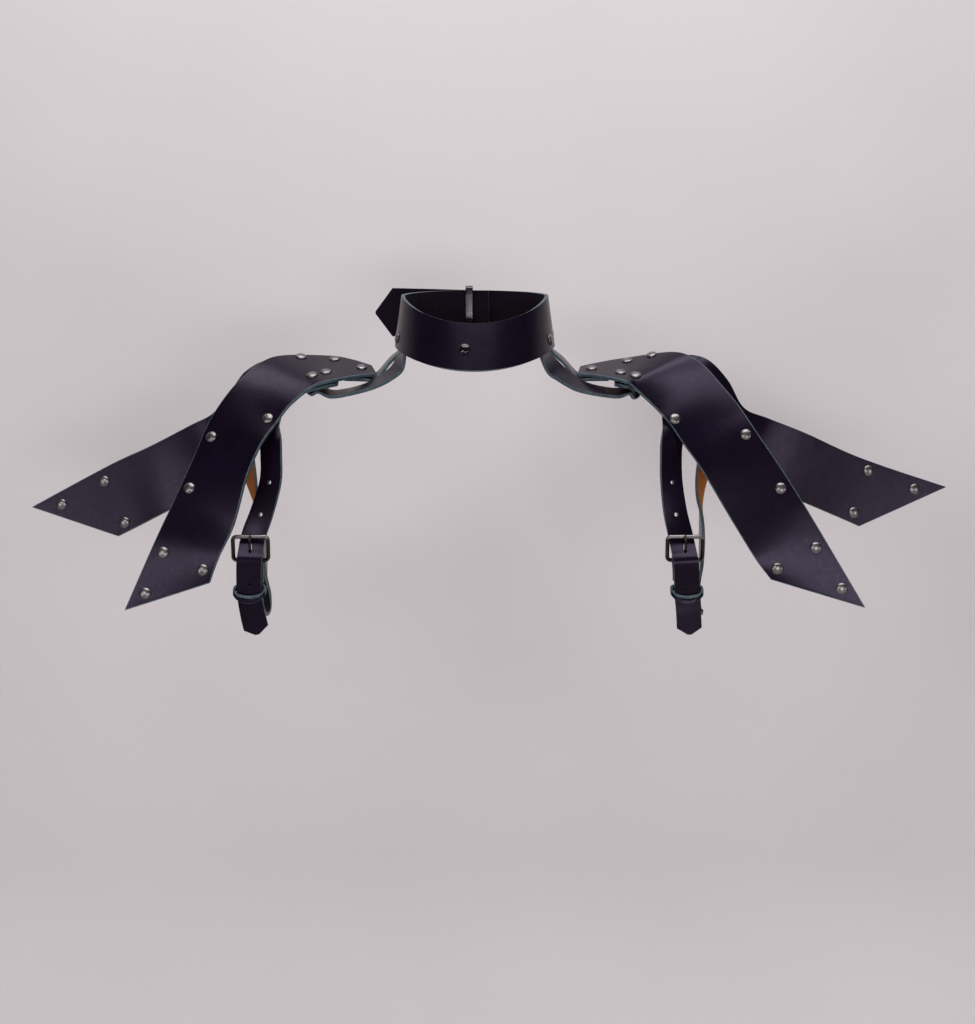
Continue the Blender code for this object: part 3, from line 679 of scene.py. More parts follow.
# Columns: middle's distance out, y, z, how far the back edge stands above it.
HANGER_LINE = (
    (62.0, 11.5, -3.8, 1.0),
    (66.5, 10.2, -7.8, 1.5),
    (70.5, 9.0, -11.2, 1.7),
    (74.5, 7.6, -15.8, 2.0),
    (78.5, 6.0, -21.0, 2.6),
    (82.5, 4.2, -24.6, 2.9),
)
HANGER_REACH = {"right": 1.0, "left": 0.96}
HANGER_HALF_WIDTH = 9.0
HANGER_FORWARD = 4.0
HANGER_ENDS = (-5.0, 4.0, 13.0)
# Columns: x, y.
ROOT_RIVETS = {
    "right": ((92.5, 6.0), (122.0, 21.0), (141.0, 19.0), (114.9, -3.5), (126.5, -8.5)),
    "left": ((-89.7, 6.0), (-112.5, 21.0), (-139.0, 19.0), (-117.3, -3.5), (-128.0, -8.5)),
}
UP = Vector((0, 0, 1))
TO_BACK = Vector((0, 1, 0))
TO_RIGHT = Vector((1, 0, 0))


def collar_start(angle, sign, heights):
    """Edge pairs of a strap inside the collar, back edge first."""
    inward = COLLAR_THICKNESS + SEAT_GAP + COLLAR_SLACK
    back, front = angle + STRAP_TURN * sign, angle - STRAP_TURN * sign
    return [(collar_point(back, height, inward), collar_point(front, height, inward))
            for height in heights]


for side, sign in SIDES.items():
    pairs = collar_start(SHOULDER_ANGLE[side], sign, SHOULDER_STARTS)
    pairs += edge_pairs(SHOULDER_STRAP[side])
    x, y = ROOT_RIVETS[side][4]
    start = Vector((x, y + SHOULDER_BACK, BELOW_WINGS))
    flat = seat_below("rear_blade_" + side, start, UP, Vector((sign, SHOULDER_SLANT, 0.0)),
                      STRAP_WIDTH, SHOULDER_SEAT[side], SHOULDER_ENDS)
    flat[-1] = narrower(flat[-1], SHOULDER_END_SHARE)
    pairs += ordered(flat, TO_BACK)
    strip("shoulder_strap_" + side, pairs, STRAP_THICKNESS, sign)

    pairs = collar_start(HANGER_ANGLE * sign, sign, HANGER_STARTS)
    for out, y, z, lean in HANGER_LINE:
        middle = Vector((out * sign * HANGER_REACH[side], y, z))
        half = Vector((0.0, HANGER_HALF_WIDTH, lean))
        pairs.append((middle + half, middle - half))
    x, y = ROOT_RIVETS[side][0]
    start = Vector((x, y - HANGER_FORWARD, BELOW_WINGS))
    flat = seat_below("front_blade_" + side, start, UP, Vector((sign, 0, 0)),
                      STRAP_WIDTH, BLADE_SEAT, HANGER_ENDS)
    pairs += ordered(flat, TO_BACK)
    strip("hanger_strap_" + side, pairs, STRAP_THICKNESS, sign)
print("upper straps:", [name for name in pieces if "_strap_" in name])

# %% [markdown]
# ## The armhole loops
# The punched strap hangs from the front blade and ends in a point. The buckle strap comes down
# from the rear blade, passes under the arm, folds round the buckle's bar and ends behind
# itself. Together they close a loop for the arm. Both sides share the tables, with a column for
# each side where they differ.

# %% Armhole loops
COLUMN = {"right": 0, "left": 1}
# Columns: distance out on the right, on the left, y, z, turn about Z in degrees, width.
ARMHOLE_LINE = (
    (153.9, 159.2, -25.6, -73.5, 26, 19.0),
    (153.0, 158.5, -27.5, -84.0, 30, 19.0),
    (152.9, 158.4, -31.0, -104.0, 28, 19.0),
    (155.2, 164.2, -34.3, -127.0, 18, 19.0),
    (158.4, 169.6, -36.4, -143.0, 8, 19.0),
    (159.8, 171.2, -38.2, -150.0, 3, 19.0),
    (161.0, 172.0, -43.0, -157.5, 0, 19.0),
    (162.0, 172.6, -46.8, -164.0, 0, 19.0),
    (162.8, 173.0, -45.6, -174.0, 0, 19.0),
    (163.4, 173.0, -41.8, -190.0, 0, 19.0),
    (164.6, 170.4, -41.4, -206.0, 0, 19.0),
    (165.1, 167.9, -41.2, -216.5, 0, 19.0),
)
ARMHOLE_TIP = (165.3, 166.8, -41.2, -221.6, 0, 3.0)
# Columns: x from the buckle's middle on the right, on the left, y, z, turn about Z in degrees.
BUCKLE_LINE = (
    (0.6, 0.2, -32.6, -181.0, 0),
    (0.4, 0.1, -32.0, -173.0, 0),
    (0.0, 0.0, -31.0, -166.0, 0),
    (0.0, 0.0, -32.4, -161.8, 0),
    (0.0, 0.0, -35.5, -160.4, 0),
    (0.0, 0.0, -38.7, -161.8, 0),
    (0.0, 0.0, -40.0, -166.0, 0),
    (0.6, 0.1, -39.6, -173.0, 0),
    (1.2, -0.1, -38.7, -183.0, 0),
    (1.8, -0.2, -38.3, -195.0, 0),
    (3.8, 1.0, -34.6, -205.2, 4),
    (5.6, 1.9, -21.0, -210.2, 14),
    (8.4, 2.8, -3.0, -209.5, 36),
    (12.4, 4.2, 12.5, -203.0, 64),
    (16.8, 5.0, 25.0, -190.0, 82),
    (19.4, 3.6, 33.0, -173.0, 89),
    (20.2, 0.8, 36.5, -154.0, 91),
    (19.6, -2.4, 36.0, -137.0, 86),
    (18.6, -5.2, 32.0, -120.0, 70),
    (20.2, -8.0, 24.0, -103.0, 55),
    (23.4, -11.0, 12.5, -86.0, 36),
    (26.6, -14.2, 1.5, -69.0, 20),
)
BEHIND_BLADES = 60.0
ARMHOLE_ENDS = (-6.5, 0.0, 6.5)
BUCKLE_STRAP_SEAT = STRAP_THICKNESS + 0.5
BUCKLE_STRAP_ENDS = (-9.0, 0.0, 8.0)
BUCKLE_STRAP_WAY = Vector((0, -0.4, 1))
# Columns: x, z.
ARMHOLE_RIVET = {"right": (155.8, -56.9), "left": (-160.5, -56.3)}
BUCKLE_STRAP_RIVET = {"right": (190.0, -46.0), "left": (-188.0, -52.0)}
BUCKLE_MIDDLE = {"right": 162.0, "left": -172.4}


def strap_middle(side, height):
    """The armhole strap's x at a height, between the rows of its line."""
    rows = [(row[COLUMN[side]], row[3]) for row in ARMHOLE_LINE]
    for (x, z), (next_x, next_z) in zip(rows, rows[1:]):
        if z >= height >= next_z:
            share = (z - height) / (z - next_z)
            return SIDES[side] * (x + share * (next_x - x))


for side, sign in SIDES.items():
    column = COLUMN[side]
    x, z = ARMHOLE_RIVET[side]
    start = Vector((x, BEHIND_BLADES, z))
    flat = seat_below("front_blade_" + side, start, -TO_BACK, -UP,
                      STRAP_WIDTH, BLADE_SEAT, ARMHOLE_ENDS)
    rows = ARMHOLE_LINE + (ARMHOLE_TIP,)
    centres = [Vector((out[column] * sign, y, z)) for *out, y, z, _, _ in rows]
    widths = [width for *_, width in rows]
    hanging = line_pairs(centres, widths, [turn * sign for *_, turn, _ in rows])
    pairs = ordered(flat, TO_RIGHT) + hanging[:-1]
    strip("armhole_strap_" + side, pairs, STRAP_THICKNESS, 1, tip=hanging[-1:])

    centres = [Vector((BUCKLE_MIDDLE[side] + off[column], y, z)) for *off, y, z, _ in BUCKLE_LINE]
    widths = [STRAP_WIDTH] * len(centres)
    pairs = line_pairs(centres, widths, [turn * sign for *_, turn in BUCKLE_LINE])
    x, z = BUCKLE_STRAP_RIVET[side]
    start = Vector((x, BEHIND_BLADES, z))
    flat = seat_below("rear_blade_" + side, start, -TO_BACK, BUCKLE_STRAP_WAY,
                      STRAP_WIDTH, BUCKLE_STRAP_SEAT, BUCKLE_STRAP_ENDS)
    pairs += ordered(flat, TO_RIGHT)
    strip("buckle_strap_" + side, pairs, STRAP_THICKNESS, 1)
    pieces["buckle_strap_" + side].data.materials[2] = FLESH_BLACK_BELOW
print("armhole loops:", [name for name in pieces if "armhole" in name or "buckle" in name])

# %% [markdown]
# ## Punched holes
# The holes repeat down the strap, so a Geometry Nodes tree makes them: a short rod stands on
# every mark, and Mesh Boolean takes the rods out of the leather. The prong's hole is a longer
# slot, which is the same rod stretched by the mark's own scale.

# %% Punch tree
PUNCH_RADIUS = 1.6
PUNCH_SIDES = 28
PUNCH_DEPTH = 14.0


def punch_tree():
    tree = bpy.data.node_groups.new("punched holes", "GeometryNodeTree")
    for name, kind in (("Leather", "NodeSocketGeometry"), ("Marks", "NodeSocketObject"),
                       ("Radius", "NodeSocketFloat"), ("Cut edge", "NodeSocketMaterial")):
        tree.interface.new_socket(name, in_out="INPUT", socket_type=kind)
    tree.interface.new_socket("Leather", in_out="OUTPUT", socket_type="NodeSocketGeometry")
    start = add_node(tree, "NodeGroupInput").outputs
    marks = add_node(tree, "GeometryNodeObjectInfo", {"transform_space": "ORIGINAL"}, {
        "Object": start["Marks"]})
    rod = add_node(tree, "GeometryNodeMeshCylinder", {}, {
        "Vertices": PUNCH_SIDES, "Radius": start["Radius"], "Depth": PUNCH_DEPTH * MM})
    coloured = add_node(tree, "GeometryNodeSetMaterial", {}, {
        "Geometry": rod.outputs["Mesh"], "Material": start["Cut edge"]})
    facing, stretch = (
        add_node(tree, "GeometryNodeInputNamedAttribute", {"data_type": "FLOAT_VECTOR"}, {
            "Name": label}) for label in ("facing", "stretch"))
    turn = add_node(tree, "FunctionNodeAlignRotationToVector", {"axis": "Z"}, {
        "Vector": facing.outputs["Attribute"]})
    rods = add_node(tree, "GeometryNodeInstanceOnPoints", {}, {
        "Points": marks.outputs["Geometry"], "Instance": coloured.outputs["Geometry"],
        "Rotation": turn.outputs["Rotation"], "Scale": stretch.outputs["Attribute"]})
    real = add_node(tree, "GeometryNodeRealizeInstances", {}, {
        "Geometry": rods.outputs["Instances"]})
    how = {"operation": "DIFFERENCE", "solver": "EXACT"}
    cut = add_node(tree, "GeometryNodeMeshBoolean", how, {
        "Mesh 1": start["Leather"], "Mesh 2": real.outputs["Geometry"]})
    add_node(tree, "NodeGroupOutput", {}, {"Leather": cut.outputs["Mesh"]})
    return tree


def mark_mesh(name, marks):
    """A mesh with one point for each mark, which holds the way it faces and its stretch."""
    mesh = bpy.data.meshes.new(name)
    mesh.from_pydata([place * MM for place, facing, stretch in marks], [], [])
    for label, column in (("facing", 1), ("stretch", 2)):
        layer = mesh.attributes.new(label, "FLOAT_VECTOR", "POINT")
        for index, mark in enumerate(marks):
            layer.data[index].vector = mark[column]
    return mesh


def set_inputs(modifier, values):
    """Sets a Geometry Nodes modifier's inputs, each found by its socket's identifier."""
    for item in modifier.node_group.interface.items_tree:
        if item.item_type == "SOCKET" and item.in_out == "INPUT" and item.name in values:
            modifier[item.identifier] = values[item.name]


PUNCH = punch_tree()
print("punch:", len(PUNCH.nodes), "nodes")

# %% [markdown]
# ## Marks for the punch
# The round holes lie on the strap's own surface, which a ray finds. The slot for the prong goes
# through the armhole strap above the buckle's lower bar, and a wider slot through the fold of
# the buckle strap lets the prong turn on that bar.

# %% Punch the straps
PUNCH_HEIGHTS = (-105.5, -130.0, -183.0)
IN_FRONT_OF_STRAPS = -90.0
# Columns of both slots: width, length.
PRONG_SLOT = (2.7, 7.6)
FOLD_SLOT = (3.4, 10.0)
PRONG_SLOT_Y = -38.5
PRONG_SLOT_Z = -155.2
FOLD_SLOT_RISE = 1.5
BAR_Y = -35.5
BAR_Z = -165.0


def slot_stretch(slot):
    """How far the round punch is stretched to cut a slot."""
    width, length = slot
    return (width / 2 / PUNCH_RADIUS, length / 2 / PUNCH_RADIUS, 1)


for side in SIDES:
    surface = surface_of(pieces["armhole_strap_" + side])
    marks = []
    for height in PUNCH_HEIGHTS:
        start = Vector((strap_middle(side, height), IN_FRONT_OF_STRAPS, height))
        place, facing, _, _ = surface.ray_cast(start, TO_BACK)
        marks.append((place, facing, (1, 1, 1)))
    slot = Vector((BUCKLE_MIDDLE[side], PRONG_SLOT_Y, PRONG_SLOT_Z))
    marks.append((slot, -TO_BACK, slot_stretch(PRONG_SLOT)))
    fold = Vector((BUCKLE_MIDDLE[side], BAR_Y, BAR_Z + FOLD_SLOT_RISE))
    fold_marks = [(fold, -TO_BACK, slot_stretch(FOLD_SLOT))]
    for stem, own in (("armhole_strap_", marks), ("buckle_strap_", fold_marks)):
        holder = new_object("marks", mark_mesh("marks", own))
        modifier = pieces[stem + side].modifiers.new("holes", "NODES")
        modifier.node_group = PUNCH
        set_inputs(modifier, {"Marks": holder, "Radius": PUNCH_RADIUS * MM, "Cut edge": EDGE})
        make_plain(pieces[stem + side])
        bpy.data.objects.remove(holder)
print("punched:", len(PUNCH_HEIGHTS) + 1, "holes a strap")

# %% [markdown]
# ## Rubbed edges
# The cut edges were sanded and rubbed, which leaves a narrow round that catches the light. The
# surfaces from before are kept, because the rivets are placed on them.

# %% Round every strip
strip_surfaces = {name: surface_of(obj) for name, obj in pieces.items()}
for name, obj in pieces.items():
    round_edges(obj)
print("strips:", len(pieces))

# %% [markdown]
# ## Rivets
# All rivets are alike, so one Geometry Nodes tree sets them: each is an edge from its back to
# its front. The tree makes the post along the edge and puts a domed cap on one end and a flat
# cap on the other. Realize Instances at its end turns the copies into mesh.

# %% Rivet tree
POST_SIDES = 16


def rivet_tree():
    tree = bpy.data.node_groups.new("cap rivets", "GeometryNodeTree")
    for name, kind in (("Places", "NodeSocketGeometry"), ("Front cap", "NodeSocketObject"),
                       ("Back cap", "NodeSocketObject"), ("Post radius", "NodeSocketFloat"),
                       ("Metal", "NodeSocketMaterial")):
        tree.interface.new_socket(name, in_out="INPUT", socket_type=kind)
    tree.interface.new_socket("Rivets", in_out="OUTPUT", socket_type="NodeSocketGeometry")
    start = add_node(tree, "NodeGroupInput").outputs
    lines = add_node(tree, "GeometryNodeMeshToCurve", {}, {"Mesh": start["Places"]})
    ring = add_node(tree, "GeometryNodeCurvePrimitiveCircle", {}, {
        "Resolution": POST_SIDES, "Radius": start["Post radius"]})
    posts = add_node(tree, "GeometryNodeCurveToMesh", {}, {
        "Curve": lines.outputs["Curve"], "Profile Curve": ring.outputs["Curve"], "Fill Caps": True})
    tangent = add_node(tree, "GeometryNodeInputTangent").outputs["Tangent"]
    reverse = add_node(tree, "ShaderNodeVectorMath", {"operation": "SCALE"}, {
        0: tangent, "Scale": -1.0})
    parts = [posts.outputs["Mesh"]]
    ends = (("Back cap", 1, 0, reverse.outputs["Vector"]), ("Front cap", 0, 1, tangent))
    for label, first, last, facing in ends:
        cap = add_node(tree, "GeometryNodeObjectInfo", {}, {"Object": start[label]})
        end = add_node(tree, "GeometryNodeCurveEndpointSelection", {}, {
            "Start Size": first, "End Size": last})
        turn = add_node(tree, "FunctionNodeAlignRotationToVector", {"axis": "Z"}, {
            "Vector": facing})
        caps = add_node(tree, "GeometryNodeInstanceOnPoints", {}, {
            "Points": lines.outputs["Curve"], "Selection": end.outputs["Selection"],
            "Instance": cap.outputs["Geometry"], "Rotation": turn.outputs["Rotation"]})
        parts.append(caps.outputs["Instances"])
    joined = add_node(tree, "GeometryNodeJoinGeometry")
    for part in parts:
        tree.links.new(part, joined.inputs["Geometry"])
    real = add_node(tree, "GeometryNodeRealizeInstances", {}, {
        "Geometry": joined.outputs["Geometry"]})
    coat = add_node(tree, "GeometryNodeSetMaterial", {}, {
        "Geometry": real.outputs["Geometry"], "Material": start["Metal"]})
    add_node(tree, "NodeGroupOutput", {}, {"Rivets": coat.outputs["Geometry"]})
    return tree


RIVETS = rivet_tree()
print("rivet tree:", len(RIVETS.nodes), "nodes")

# %% [markdown]
# ## Rivet caps
# A cap is pressed from a round blank, so its profile is turned about its axis. The front cap is
# domed and has a rolled rim, and the back one is flat.

# %% Rivet caps
CAP_SIDES = 36
# Columns: radius, height.
FRONT_PROFILE = (
    (0.0, 1.9), (0.9, 1.88), (1.7, 1.8), (2.5, 1.62), (3.2, 1.36), (3.8, 1.04),
    (4.2, 0.7), (4.45, 0.36), (4.4, 0.1), (4.1, 0.02), (0.0, 0.02))
BACK_PROFILE = (
    (0.0, 1.3), (2.6, 1.25), (3.4, 1.0), (4.2, 0.45), (4.4, 0.15), (4.2, 0.02), (0.0, 0.02))


def turned_cap(name, profile):
    """A closed cap turned about Z from (radius, height) points that start and end on the axis."""
    shape = bmesh.new()
    turns = [2 * math.pi * i / CAP_SIDES for i in range(CAP_SIDES)]
    rings = []
    for radius, height in profile:
        if radius == 0.0:
            rings.append([shape.verts.new((0, 0, height * MM))])
            continue
        size = radius * MM
        rings.append([shape.verts.new((size * math.cos(turn), size * math.sin(turn), height * MM))
                      for turn in turns])
    for upper, lower in zip(rings, rings[1:]):
        for i in range(CAP_SIDES):
            j = (i + 1) % CAP_SIDES
            if len(upper) == 1:
                shape.faces.new((upper[0], lower[i], lower[j]))
            elif len(lower) == 1:
                shape.faces.new((upper[j], upper[i], lower[0]))
            else:
                shape.faces.new((upper[j], upper[i], lower[i], lower[j]))
    bmesh.ops.recalc_face_normals(shape, faces=shape.faces)
    return object_from(shape, name)


FRONT_CAP = turned_cap("front cap", FRONT_PROFILE)
BACK_CAP = turned_cap("back cap", BACK_PROFILE)
print("caps:", len(FRONT_CAP.data.polygons), "and", len(BACK_CAP.data.polygons), "faces")

# %% [markdown]
# ## Where the rivets go
# The root's rivets are placed from above and the others from the front. A ray finds the
# leather's face, a second one its back, and the rivet stands square to the face.

# %% Rivet places
# Columns: x, z.
FRONT_RIVETS = {
    "right": (
        (209.6, -68.4), (234.5, -108.7), (259.8, -153.0), (230.7, -169.0), (278.5, -183.4)),
    "left": (
        (-205.1, -71.0), (-220.3, -109.8), (-237.9, -157.3), (-206.7, -169.8), (-250.5, -187.6)),
}
REAR_RIVETS = {
    "right": ((314.2, -100.9), (352.7, -116.4), (301.6, -133.8)),
    "left": ((-295.6, -108.9), (-331.0, -128.0), (-278.1, -141.2)),
}
STRAP_RIVET_HEIGHT = 0.21
FRONT_RIVET_HEIGHT = 0.45
FRONT_RIVET_ANGLE = -7.0
ABOVE_ROOT = 40.0
FAR_IN_FRONT = -200.0
BETWEEN_BLADES = -28.0
LEATHER_REACH = 25.0
BACK_LIFT = 0.1
FRONT_LIFT = 0.05


def rivet_line(start, look, first, last):
    """The back and front end of a rivet through the strips first to last, in millimetres."""
    place, normal, _, _ = strip_surfaces[first].ray_cast(start, look)
    back, _, _, _ = strip_surfaces[last].ray_cast(place - normal * LEATHER_REACH, normal)
    return back - normal * BACK_LIFT, place + normal * FRONT_LIFT


def collar_line(angle, height, last):
    """The line of a rivet that looks straight out of the collar."""
    place = collar_point(angle, height)
    start = Vector((place.x * 2, place.y * 2, place.z))
    look = Vector((-place.x, -place.y, 0.0)).normalized()
    return rivet_line(start, look, "collar", last)


def wing_lines(side, sign):
    """Each rivet node's line on one side of the harness."""
    front, rear = "front_blade_" + side, "rear_blade_" + side
    hanger, shoulder = "hanger_strap_" + side, "shoulder_strap_" + side
    lines = {}
    for index, last in enumerate((hanger, rear, rear, rear, shoulder)):
        x, y = ROOT_RIVETS[side][index]
        lines[f"root_rivet_{side}_{index + 1}"] = rivet_line(
            Vector((x, y, ABOVE_ROOT)), -UP, front, last)
    for stem, blade, places in (("front", front, FRONT_RIVETS), ("rear", rear, REAR_RIVETS)):
        for index, (x, z) in enumerate(places[side]):
            lines[f"{stem}_rivet_{side}_{index + 1}"] = rivet_line(
                Vector((x, FAR_IN_FRONT, z)), TO_BACK, blade, blade)
    x, z = ARMHOLE_RIVET[side]
    lines["armhole_rivet_" + side] = rivet_line(
        Vector((x, FAR_IN_FRONT, z)), TO_BACK, front, "armhole_strap_" + side)
    x, z = BUCKLE_STRAP_RIVET[side]
    lines["buckle_strap_rivet_" + side] = rivet_line(
        Vector((x, BETWEEN_BLADES, z)), TO_BACK, rear, "buckle_strap_" + side)
    lines["collar_side_rivet_" + side] = collar_line(
        SHOULDER_ANGLE[side], STRAP_RIVET_HEIGHT, shoulder)
    lines["collar_hanger_rivet_" + side] = collar_line(
        HANGER_ANGLE * sign, STRAP_RIVET_HEIGHT, hanger)
    return lines


rivet_lines = {side: wing_lines(side, sign) for side, sign in SIDES.items()}
print("rivets:", {side: len(lines) for side, lines in rivet_lines.items()})

# %% [markdown]
# ## Set the rivets
# Each side's rivets become one piece, which stands for all of that side's rivet solids. The
# rivet at the collar's front is black, a painted dark reflection, so it is a piece of its own.

# %% Set the rivets
POST_RADIUS = 1.8


def set_rivets(name, lines, metal):
    """One plain mesh of rivets along the lines, made by the rivet tree."""
    points = [end * MM for pair in lines for end in pair]
    mesh = bpy.data.meshes.new(name)
    mesh.from_pydata(points, [(2 * i, 2 * i + 1) for i in range(len(lines))], [])
    obj = new_object(name, mesh, metal)
    modifier = obj.modifiers.new("rivets", "NODES")
    modifier.node_group = RIVETS
    set_inputs(modifier, {
        "Front cap": FRONT_CAP, "Back cap": BACK_CAP, "Post radius": POST_RADIUS * MM,
        "Metal": metal})
    return make_plain(obj)


rivet_nodes = {}
for side, lines in rivet_lines.items():
    name = "rivets_" + side
    pieces[name] = set_rivets(name, list(lines.values()), NICKEL)
    rivet_nodes[name] = list(lines)
front_line = collar_line(FRONT_RIVET_ANGLE, FRONT_RIVET_HEIGHT, "collar")
# The front rivet is nickel like the others; its black is painted dark reflection.
pieces["collar_front_rivet"] = set_rivets("front_rivet_of_collar", [front_line], ENAMEL_AND_DARK_REFLECTION)
for cap in (FRONT_CAP, BACK_CAP):
    bpy.data.objects.remove(cap)
print("rivet pieces:", [name for name in pieces if "rivet" in name])

# %% [markdown]
# ## Bent wire
# The buckles are bent from round wire. A curve with a round bevel is wire as it is bent in the
# workshop, and it is turned into a mesh with its doubled points merged.

# %% Bent wire
WELD = 0.01 * MM
WIRE_ROUNDNESS = 5


def bent_wire(name, points, radius, closed, radii=None):
    """Round wire along points, as a mesh. The radii, if any, are shares of the radius."""
    curve = bpy.data.curves.new(name, "CURVE")
    curve.dimensions = "3D"
    curve.bevel_depth = radius * MM
    curve.bevel_resolution = WIRE_ROUNDNESS
    curve.use_fill_caps = not closed
    spline = curve.splines.new("POLY")
    spline.points.add(len(points) - 1)
    for index, place in enumerate(points):
        spline.points[index].co = (*(place * MM), 1.0)
        spline.points[index].radius = radii[index] if radii else 1.0
    spline.use_cyclic_u = closed
    holder = bpy.data.objects.new(name + " curve", curve)
    bpy.context.scene.collection.objects.link(holder)
    graph = bpy.context.evaluated_depsgraph_get()
    shape = bmesh.new()
    shape.from_mesh(holder.evaluated_get(graph).to_mesh())
    bpy.data.objects.remove(holder)
    bmesh.ops.remove_doubles(shape, verts=shape.verts, dist=WELD)
    bmesh.ops.recalc_face_normals(shape, faces=shape.faces)
    # Slot 0 is the darker metal, painted shade; slot 1 is the paler one, a painted highlight.
    return object_from(shape, name, SHADED_NICKEL, NICKEL)


print("wire is welded where its points are closer than", WELD / MM, "mm")

# %% [markdown]
# ## Buckles
# The frame is bent wire with rounded corners, leaning with the strap. The prong hooks round the
# lower bar, comes up through the strap and rests on the upper bar. The upper bar takes the paler
# metal as a painted highlight, and the rest of the wire takes the darker one as painted shade.

# %% Buckles
TOP_BAR_Y = -40.2
TOP_BAR_Z = -146.5
FRAME_HALF_WIDTH = 13.5
FRAME_CORNER = 2.8
BUCKLE_WIRE = 1.6
PRONG_WIRE = 1.1
HIGHLIGHT_MARGIN = 0.1
PRONG_HOOK = range(-60, 121, 12)
PRONG_STEPS = 5
# Columns: how far behind the tip, z.
PRONG_REST = ((1.2, BAR_Z + 9.0), (0.0, TOP_BAR_Z - 3.0), (0.0, TOP_BAR_Z + 1.6))
PRONG_TAPER = (0.92, 0.82, 0.72, 0.62)


def frame_outline(middle):
    """The frame's wire line: a rectangle with round corners, leaning from bar to bar."""
    side_x = FRAME_HALF_WIDTH - FRAME_CORNER
    top_z, low_z = TOP_BAR_Z - FRAME_CORNER, BAR_Z + FRAME_CORNER
    lean = (TOP_BAR_Y - BAR_Y) / (TOP_BAR_Z - BAR_Z)
    points = []
    for centre_x, centre_z, first in (
            (side_x, top_z, 0), (-side_x, top_z, 90), (-side_x, low_z, 180), (side_x, low_z, 270)):
        for degrees in range(first, first + 100, 10):
            turn = math.radians(degrees)
            x = middle + centre_x + FRAME_CORNER * math.cos(turn)
            z = centre_z + FRAME_CORNER * math.sin(turn)
            points.append(Vector((x, BAR_Y + lean * (z - BAR_Z), z)))
    return points


def prong_line(middle):
    """The prong's wire line: a hook round the lower bar, and then up to the upper bar."""
    reach = BUCKLE_WIRE + SEAT_GAP + PRONG_WIRE
    hook = []
    for degrees in PRONG_HOOK:
        turn = math.radians(degrees)
        y, z = BAR_Y + reach * math.cos(turn), BAR_Z + reach * math.sin(turn)
        hook.append(Vector((middle, y, z)))
    tip_y = TOP_BAR_Y - BUCKLE_WIRE - SEAT_GAP - PRONG_WIRE
    rest = [Vector((middle, tip_y + behind, z)) for behind, z in PRONG_REST]
    return hook[:-1] + through([hook[-1]] + rest, PRONG_STEPS)


# Frame faces above this height take the paler metal: a painted highlight on the upper bar.
highlight_above = (TOP_BAR_Z - BUCKLE_WIRE - HIGHLIGHT_MARGIN) * MM
for side, middle in BUCKLE_MIDDLE.items():
    buckle = bent_wire("frame_" + side, frame_outline(middle), BUCKLE_WIRE, True)
    for face in buckle.data.polygons:
        if face.center.z > highlight_above:
            face.material_index = 1
    pieces["buckle_frame_" + side] = buckle
    line = prong_line(middle)
    radii = [1.0] * (len(line) - len(PRONG_TAPER)) + list(PRONG_TAPER)
    pieces["buckle_prong_" + side] = bent_wire("prong_" + side, line, PRONG_WIRE, False, radii)
print("buckle frame:", 2 * FRAME_HALF_WIDTH, "mm wide,", TOP_BAR_Z - BAR_Z, "mm between its bars")

# %% [markdown]
# ## A closed band
# A keeper is a strip bent round and closed on itself, and the metal loop at the back is a band
# too. Both run along a rectangle with round corners. The four rings of points are the band's
# inner and outer edges, and a function that each loop brings along puts them in place.

# %% Closed band
LOOP_ROUND = 0.45
BEND_STEPS = 6
SIDE_PARTS = 8
OUTER_BEND = 0.8


def rounded_loop(length, depth, corner):
    """Points of a rectangle with round corners around zero, with points along its sides too."""
    bends = []
    for cx, cy, first in ((1, 1, 0), (-1, 1, 90), (-1, -1, 180), (1, -1, 270)):
        centre_x, centre_y = cx * (length / 2 - corner), cy * (depth / 2 - corner)
        bends.append([])
        for step in range(BEND_STEPS + 1):
            turn = math.radians(first + 90 * step / BEND_STEPS)
            bends[-1].append(Vector((
                centre_x + corner * math.cos(turn), centre_y + corner * math.sin(turn))))
    points = []
    for bend, following in zip(bends, bends[1:] + bends[:1]):
        points += bend
        points += [bend[-1].lerp(following[0], part / SIDE_PARTS) for part in range(1, SIDE_PARTS)]
    return points


def band_loop(name, place_point, materials, length, depth, wall, width, inner):
    """A closed band, its hole length by depth with corners of radius inner, set by place_point."""
    shape = bmesh.new()
    rings = []
    for height in (-width / 2, width / 2):
        for grow, corner in ((0.0, inner), (wall, inner + wall * OUTER_BEND)):
            loop = rounded_loop(length + 2 * grow, depth + 2 * grow, corner)
            rings.append([shape.verts.new(place_point(x, y, height) * MM) for x, y in loop])
    count = len(rings[0])
    for first, second, tone in ((0, 1, 1), (1, 3, 0), (3, 2, 1), (2, 0, 2)):
        near, far = rings[first], rings[second]
        for i in range(count):
            j = (i + 1) % count
            face = shape.faces.new((near[i], near[j], far[j], far[i]))
            face.material_index = tone if len(materials) > 1 else 0
    bmesh.ops.recalc_face_normals(shape, faces=shape.faces)
    obj = object_from(shape, name, *materials)
    round_edges(obj, LOOP_ROUND)
    return obj


print("a closed band has", len(rounded_loop(4.0, 2.0, 0.5)), "points in each ring")

# %% [markdown]
# ## Keepers and the back loop
# A keeper holds the strap's tail. It leans with the strap, and its front sags in the middle,
# because the leather is old. The back loop is plain, flat metal that closes the collar. The
# length and depth are those of the hole, and inner is the radius of its corners.

# %% Loops
KEEPER_Y = -39.2
KEEPER_Z = -188.2
KEEPER_LEAN = 0.38
KEEPER_SAG = 4.4
SAG_FRONT = 5.6
SAG_HALF_WIDTH = 12.0
KEEPER_SIZES = {"length": STRAP_WIDTH + 2.4, "depth": 8.4, "wall": 2.0, "width": 4.2, "inner": 3.0}
CLASP_SIZES = {"length": 41.8, "depth": 9.6, "wall": 2.4, "width": 6.0, "inner": 1.2}
CLASP_MIDDLE = Vector((-5.0, 58.0, 23.9))


